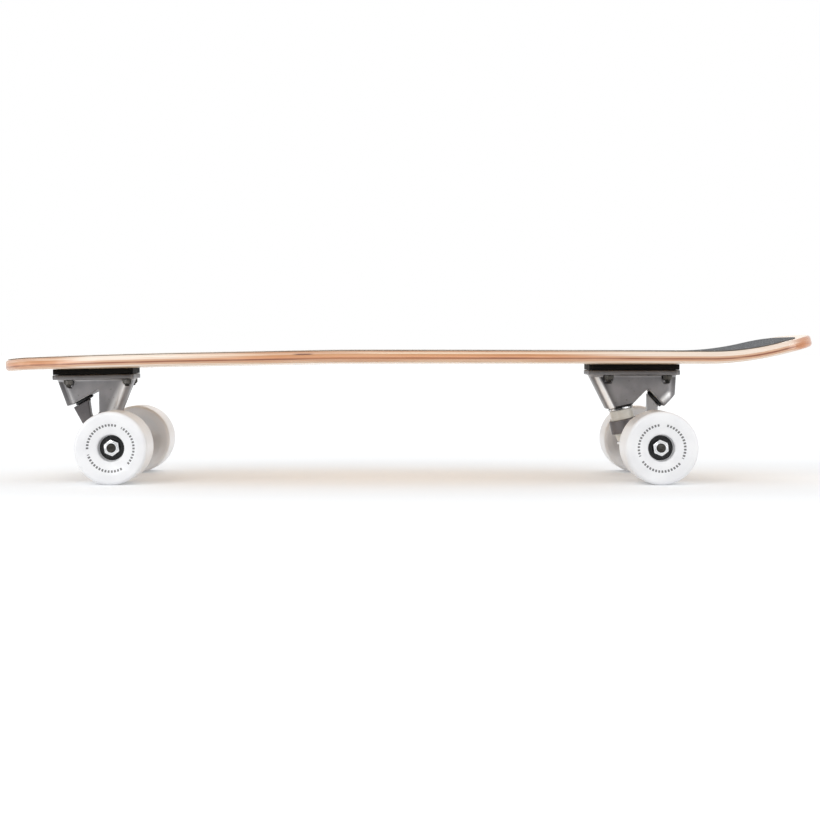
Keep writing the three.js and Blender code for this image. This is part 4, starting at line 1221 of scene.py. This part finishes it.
def hanger(plan):
    """The cast hanger: a ring for the bushings, a web, a crossbar, and the arm with its pivot nose."""
    half_web = RING_WEB / 2
    rim = half_web + RING_RIM
    stack = aimed(plan["ring"], plan["up"])
    along = Matrix.Translation(plan["axle_at"]) @ Matrix.Rotation(-math.pi / 2, 4, "X")
    body = slab("arm", arm_outline(plan), plan["arm_half"])
    join(body, gusset(plan), move(rod("hub", RING_RADIUS, -rim, rim, 72), stack))
    cut(body, move(swing_room(BUSHING_RADIUS + 1.2, 4.6, rim, RING_DROP + 6), stack))
    end, middle = 8.6, 11
    side = [(0, 76), (end - 0.8, 76), (end, 75.2), (end, 71), (middle, 17)]
    join(body, move(turned("bar", side + [(r, -z) for r, z in side[::-1]], 64), along))
    cut(body,
        move(swing_room(WASHER_ROAD_RADIUS + 0.6, 6.4, -KINGPIN_LENGTH, -rim), stack),
        move(rod("cup", BUSHING_RADIUS + 0.7, half_web, rim + 6, 64), stack),
        move(rod("cup", BUSHING_RADIUS + 0.7, -rim - 6, -half_web, 64), stack),
        move(rod("bore", RING_HOLE_RADIUS, -rim - 6, rim + 6), stack))
    nose = turned("nose", [
        (0, -ARM_GAP - 1.5), (NOSE_RADIUS, -ARM_GAP - 1.5), (NOSE_RADIUS, NOSE_DEPTH - 2.4),
        (5.1, NOSE_DEPTH - 1.2), (4.2, NOSE_DEPTH - FIT), (0, NOSE_DEPTH - FIT),
    ], 48)
    join(body, move(nose, aimed(plan["pivot_at"], plan["steer"])))
    cast(body)
    cut(body, move(rod("bore", AXLE_RADIUS + 0.1, -80, 80, 40), along))
    # Painted light: the arm near the pivot is lightened where it sits in shade, on the rear hanger only
    mark = body.data.attributes.new("polish", "FLOAT", "POINT")
    for vertex, value in zip(body.data.vertices, mark.data):
        from_pivot = vertex.co - plan["pivot_at"]
        value.value = plan["arm_shine"] * (from_pivot.dot(plan["steer"]) > ARM_ROOT)
    return body


def kingpin(plan):
    """A bolt down from the seat, its hexagon head in the pocket above."""
    floor = plan["head_floor"] + FIT
    top = floor + KINGPIN_HEAD_HEIGHT
    shank = turned("shank", [
        (0, -KINGPIN_LENGTH), (KINGPIN_RADIUS - 0.8, -KINGPIN_LENGTH),
        *threads(KINGPIN_RADIUS, 0.8 - KINGPIN_LENGTH, 4 - KINGPIN_NUT_TOP, 1.1, 0.4),
        (KINGPIN_RADIUS, floor + 1), (0, floor + 1),
    ], 40)
    head = move(hexagon("head", KINGPIN_HEAD_FLATS, top - floor), raised(floor))
    return join(shank, head)


def cup_washer(radius, rim_side):
    """A pressed washer with a turned rim. The rim points down for the board's side and up for the road's."""
    hole, thin = KINGPIN_RADIUS + FIT, WASHER_THICKNESS / 2
    points = [
        (hole, 0), (radius - 0.9, 0), *arc((radius - 0.9, -0.9), 0.9, 90, 0, 5),
        *arc((radius - 0.35, -WASHER_THICKNESS + 0.35), 0.35, 0, -90, 3),
        (radius - WASHER_RIM, -WASHER_THICKNESS), (radius - WASHER_RIM, -thin - 0.3),
        (radius - WASHER_RIM - 0.3, -thin), (hole, -thin), (hole, 0),
    ]
    return turned("washer", [(r, z * rim_side) for r, z in points], 64)


def graded(start, end, steps):
    """Points along a straight side, both ends included, evenly spaced."""
    return [(start[0] + (end[0] - start[0]) * i / steps, start[1] + (end[1] - start[1]) * i / steps)
            for i in range(steps + 1)]


def squeezed(end, stack, still, moved):
    """Names the board at a cushion's washer and the hanger at its ring, with a point in metres on the
    kingpin's axis for each.
    """
    places = [MM * (stack @ Vector((0, 0, height))) for height in (still, moved)]
    return ("board", f"{end}_hanger", *map(tuple, places))


def bushing_board():
    """The cushion on the board's side: a barrel with a neck inside the washer."""
    top = -BOARD_STACK + WASHER_THICKNESS / 2
    bottom = -RING_DROP + RING_WEB / 2 + FIT
    rim = -BOARD_STACK
    neck = BUSHING_RADIUS - WASHER_RIM
    wide = BUSHING_RADIUS
    return turned("bushing", [
        (BUSHING_ROOM, bottom), (wide - 1.1, bottom), *arc((wide - 1.1, bottom + 0.9), 0.9, -90, 0, 4),
        *graded((wide, bottom + 2.4), (wide - 0.25, (bottom + rim) / 2), 4),
        *graded((wide - 0.2, (bottom + rim) / 2 + 1), (wide, rim - 2.2), 3),
        *arc((wide - 0.9, rim - 0.9), 0.9, 0, 90, 4), (neck - 0.3, rim), (neck - 0.3, top),
        (BUSHING_BORE, top), (BUSHING_BORE, rim), *graded((BUSHING_ROOM, rim - 3), (BUSHING_ROOM, bottom), 7),
    ], 64)


def bushing_road():
    """The cushion on the road's side: a cone that narrows to its washer."""
    top = -RING_DROP - RING_WEB / 2 - FIT
    rim = -ROAD_STACK + FIT
    bottom = rim - WASHER_THICKNESS / 2
    neck = WASHER_ROAD_RADIUS - 2 * WASHER_RIM
    return turned("bushing", [
        (BUSHING_BORE, bottom), (neck, bottom), (neck, rim), (BUSHING_ROAD_END - 0.6, rim),
        *graded((BUSHING_ROAD_END, rim + 0.7), (BUSHING_RADIUS, top - 0.9), 6),
        *arc((BUSHING_RADIUS - 0.9, top - 0.9), 0.9, 0, 90, 4)[1:],
        *graded((BUSHING_ROOM, top), (BUSHING_ROOM, rim + 3), 6), (BUSHING_BORE, rim), (BUSHING_BORE, bottom),
    ], 64)


def pivot_cup():
    """The cup that the hanger's nose turns in, its flange outside the socket."""
    bore, lip = NOSE_RADIUS + FIT, -FIT - CUP_FLANGE
    return turned("cup", [
        (0, CUP_DEPTH - 1.6), (bore - 0.6, CUP_DEPTH - 1.6), (bore, CUP_DEPTH - 2.4), (bore, lip + 0.5),
        (bore + 0.5, lip), (CUP_FLANGE_RADIUS - 0.4, lip), (CUP_FLANGE_RADIUS, lip + 0.4),
        (CUP_FLANGE_RADIUS, -FIT - 0.3), (CUP_FLANGE_RADIUS - 0.3, -FIT), (CUP_RADIUS, -FIT),
        (CUP_RADIUS, CUP_DEPTH - 0.8), (CUP_RADIUS - 0.8, CUP_DEPTH), (0, CUP_DEPTH),
    ], 64)


def add(piece, label, matrix, body, slot, node, smooth=35):
    finish(piece, label, matrix, body, PAINTS[slot], [node], smooth)


for sizes, truck in TRUCKS:
    end = sizes["end"]
    plan = layout(sizes, truck)
    stack = truck @ aimed(plan["seat_at"], plan["up"])
    socket = truck @ aimed(plan["pivot_at"], plan["steer"])
    add(riser(plan), f"rubber_riser_{end}", truck, "board", "riser", f"riser_pad_{end}")
    add(baseplate(plan), f"cast_base_{end}", truck, "board", "casting", f"baseplate_{end}", 0)
    add(hanger(plan), f"cast_hanger_{end}", truck, f"{end}_hanger", "hanger_casting", f"hanger_{end}", 0)
    add(kingpin(plan), f"steel_kingpin_{end}", stack, "board", "dark_steel", f"kingpin_{end}")
    nut_place = raised(-KINGPIN_NUT_TOP) @ OVER
    add(lock_nut("nut", KINGPIN_HEAD_FLATS, KINGPIN_NUT_HEIGHT, KINGPIN_RADIUS + 0.1),
        f"kingpin_locknut_{end}", stack @ nut_place, "board", "bright_steel", f"kingpin_nut_{end}")
    # The washer on the board's side carries painted dark reflections
    finish(cup_washer(WASHER_BOARD_RADIUS, 1), f"upper_washer_{end}", stack @ raised(-FIT),
           "board", PAINTS["steel_with_painted_reflections"], [f"cup_washer_board_{end}"])
    add(cup_washer(WASHER_ROAD_RADIUS, -1), f"lower_washer_{end}",
        stack @ raised(-ROAD_STACK - WASHER_THICKNESS),
        "board", "bright_steel", f"cup_washer_road_{end}")
    ring_face = RING_WEB / 2 + FIT
    add(bushing_board(), f"upper_cushion_{end}", stack,
        squeezed(end, stack, -BOARD_STACK, ring_face - RING_DROP), "bushing", f"bushing_board_{end}")
    add(bushing_road(), f"lower_cushion_{end}", stack,
        squeezed(end, stack, FIT - ROAD_STACK, -ring_face - RING_DROP), "bushing", f"bushing_road_{end}")
    add(pivot_cup(), f"pivot_liner_{end}", socket, "board", "pivot_cup", f"pivot_cup_{end}")
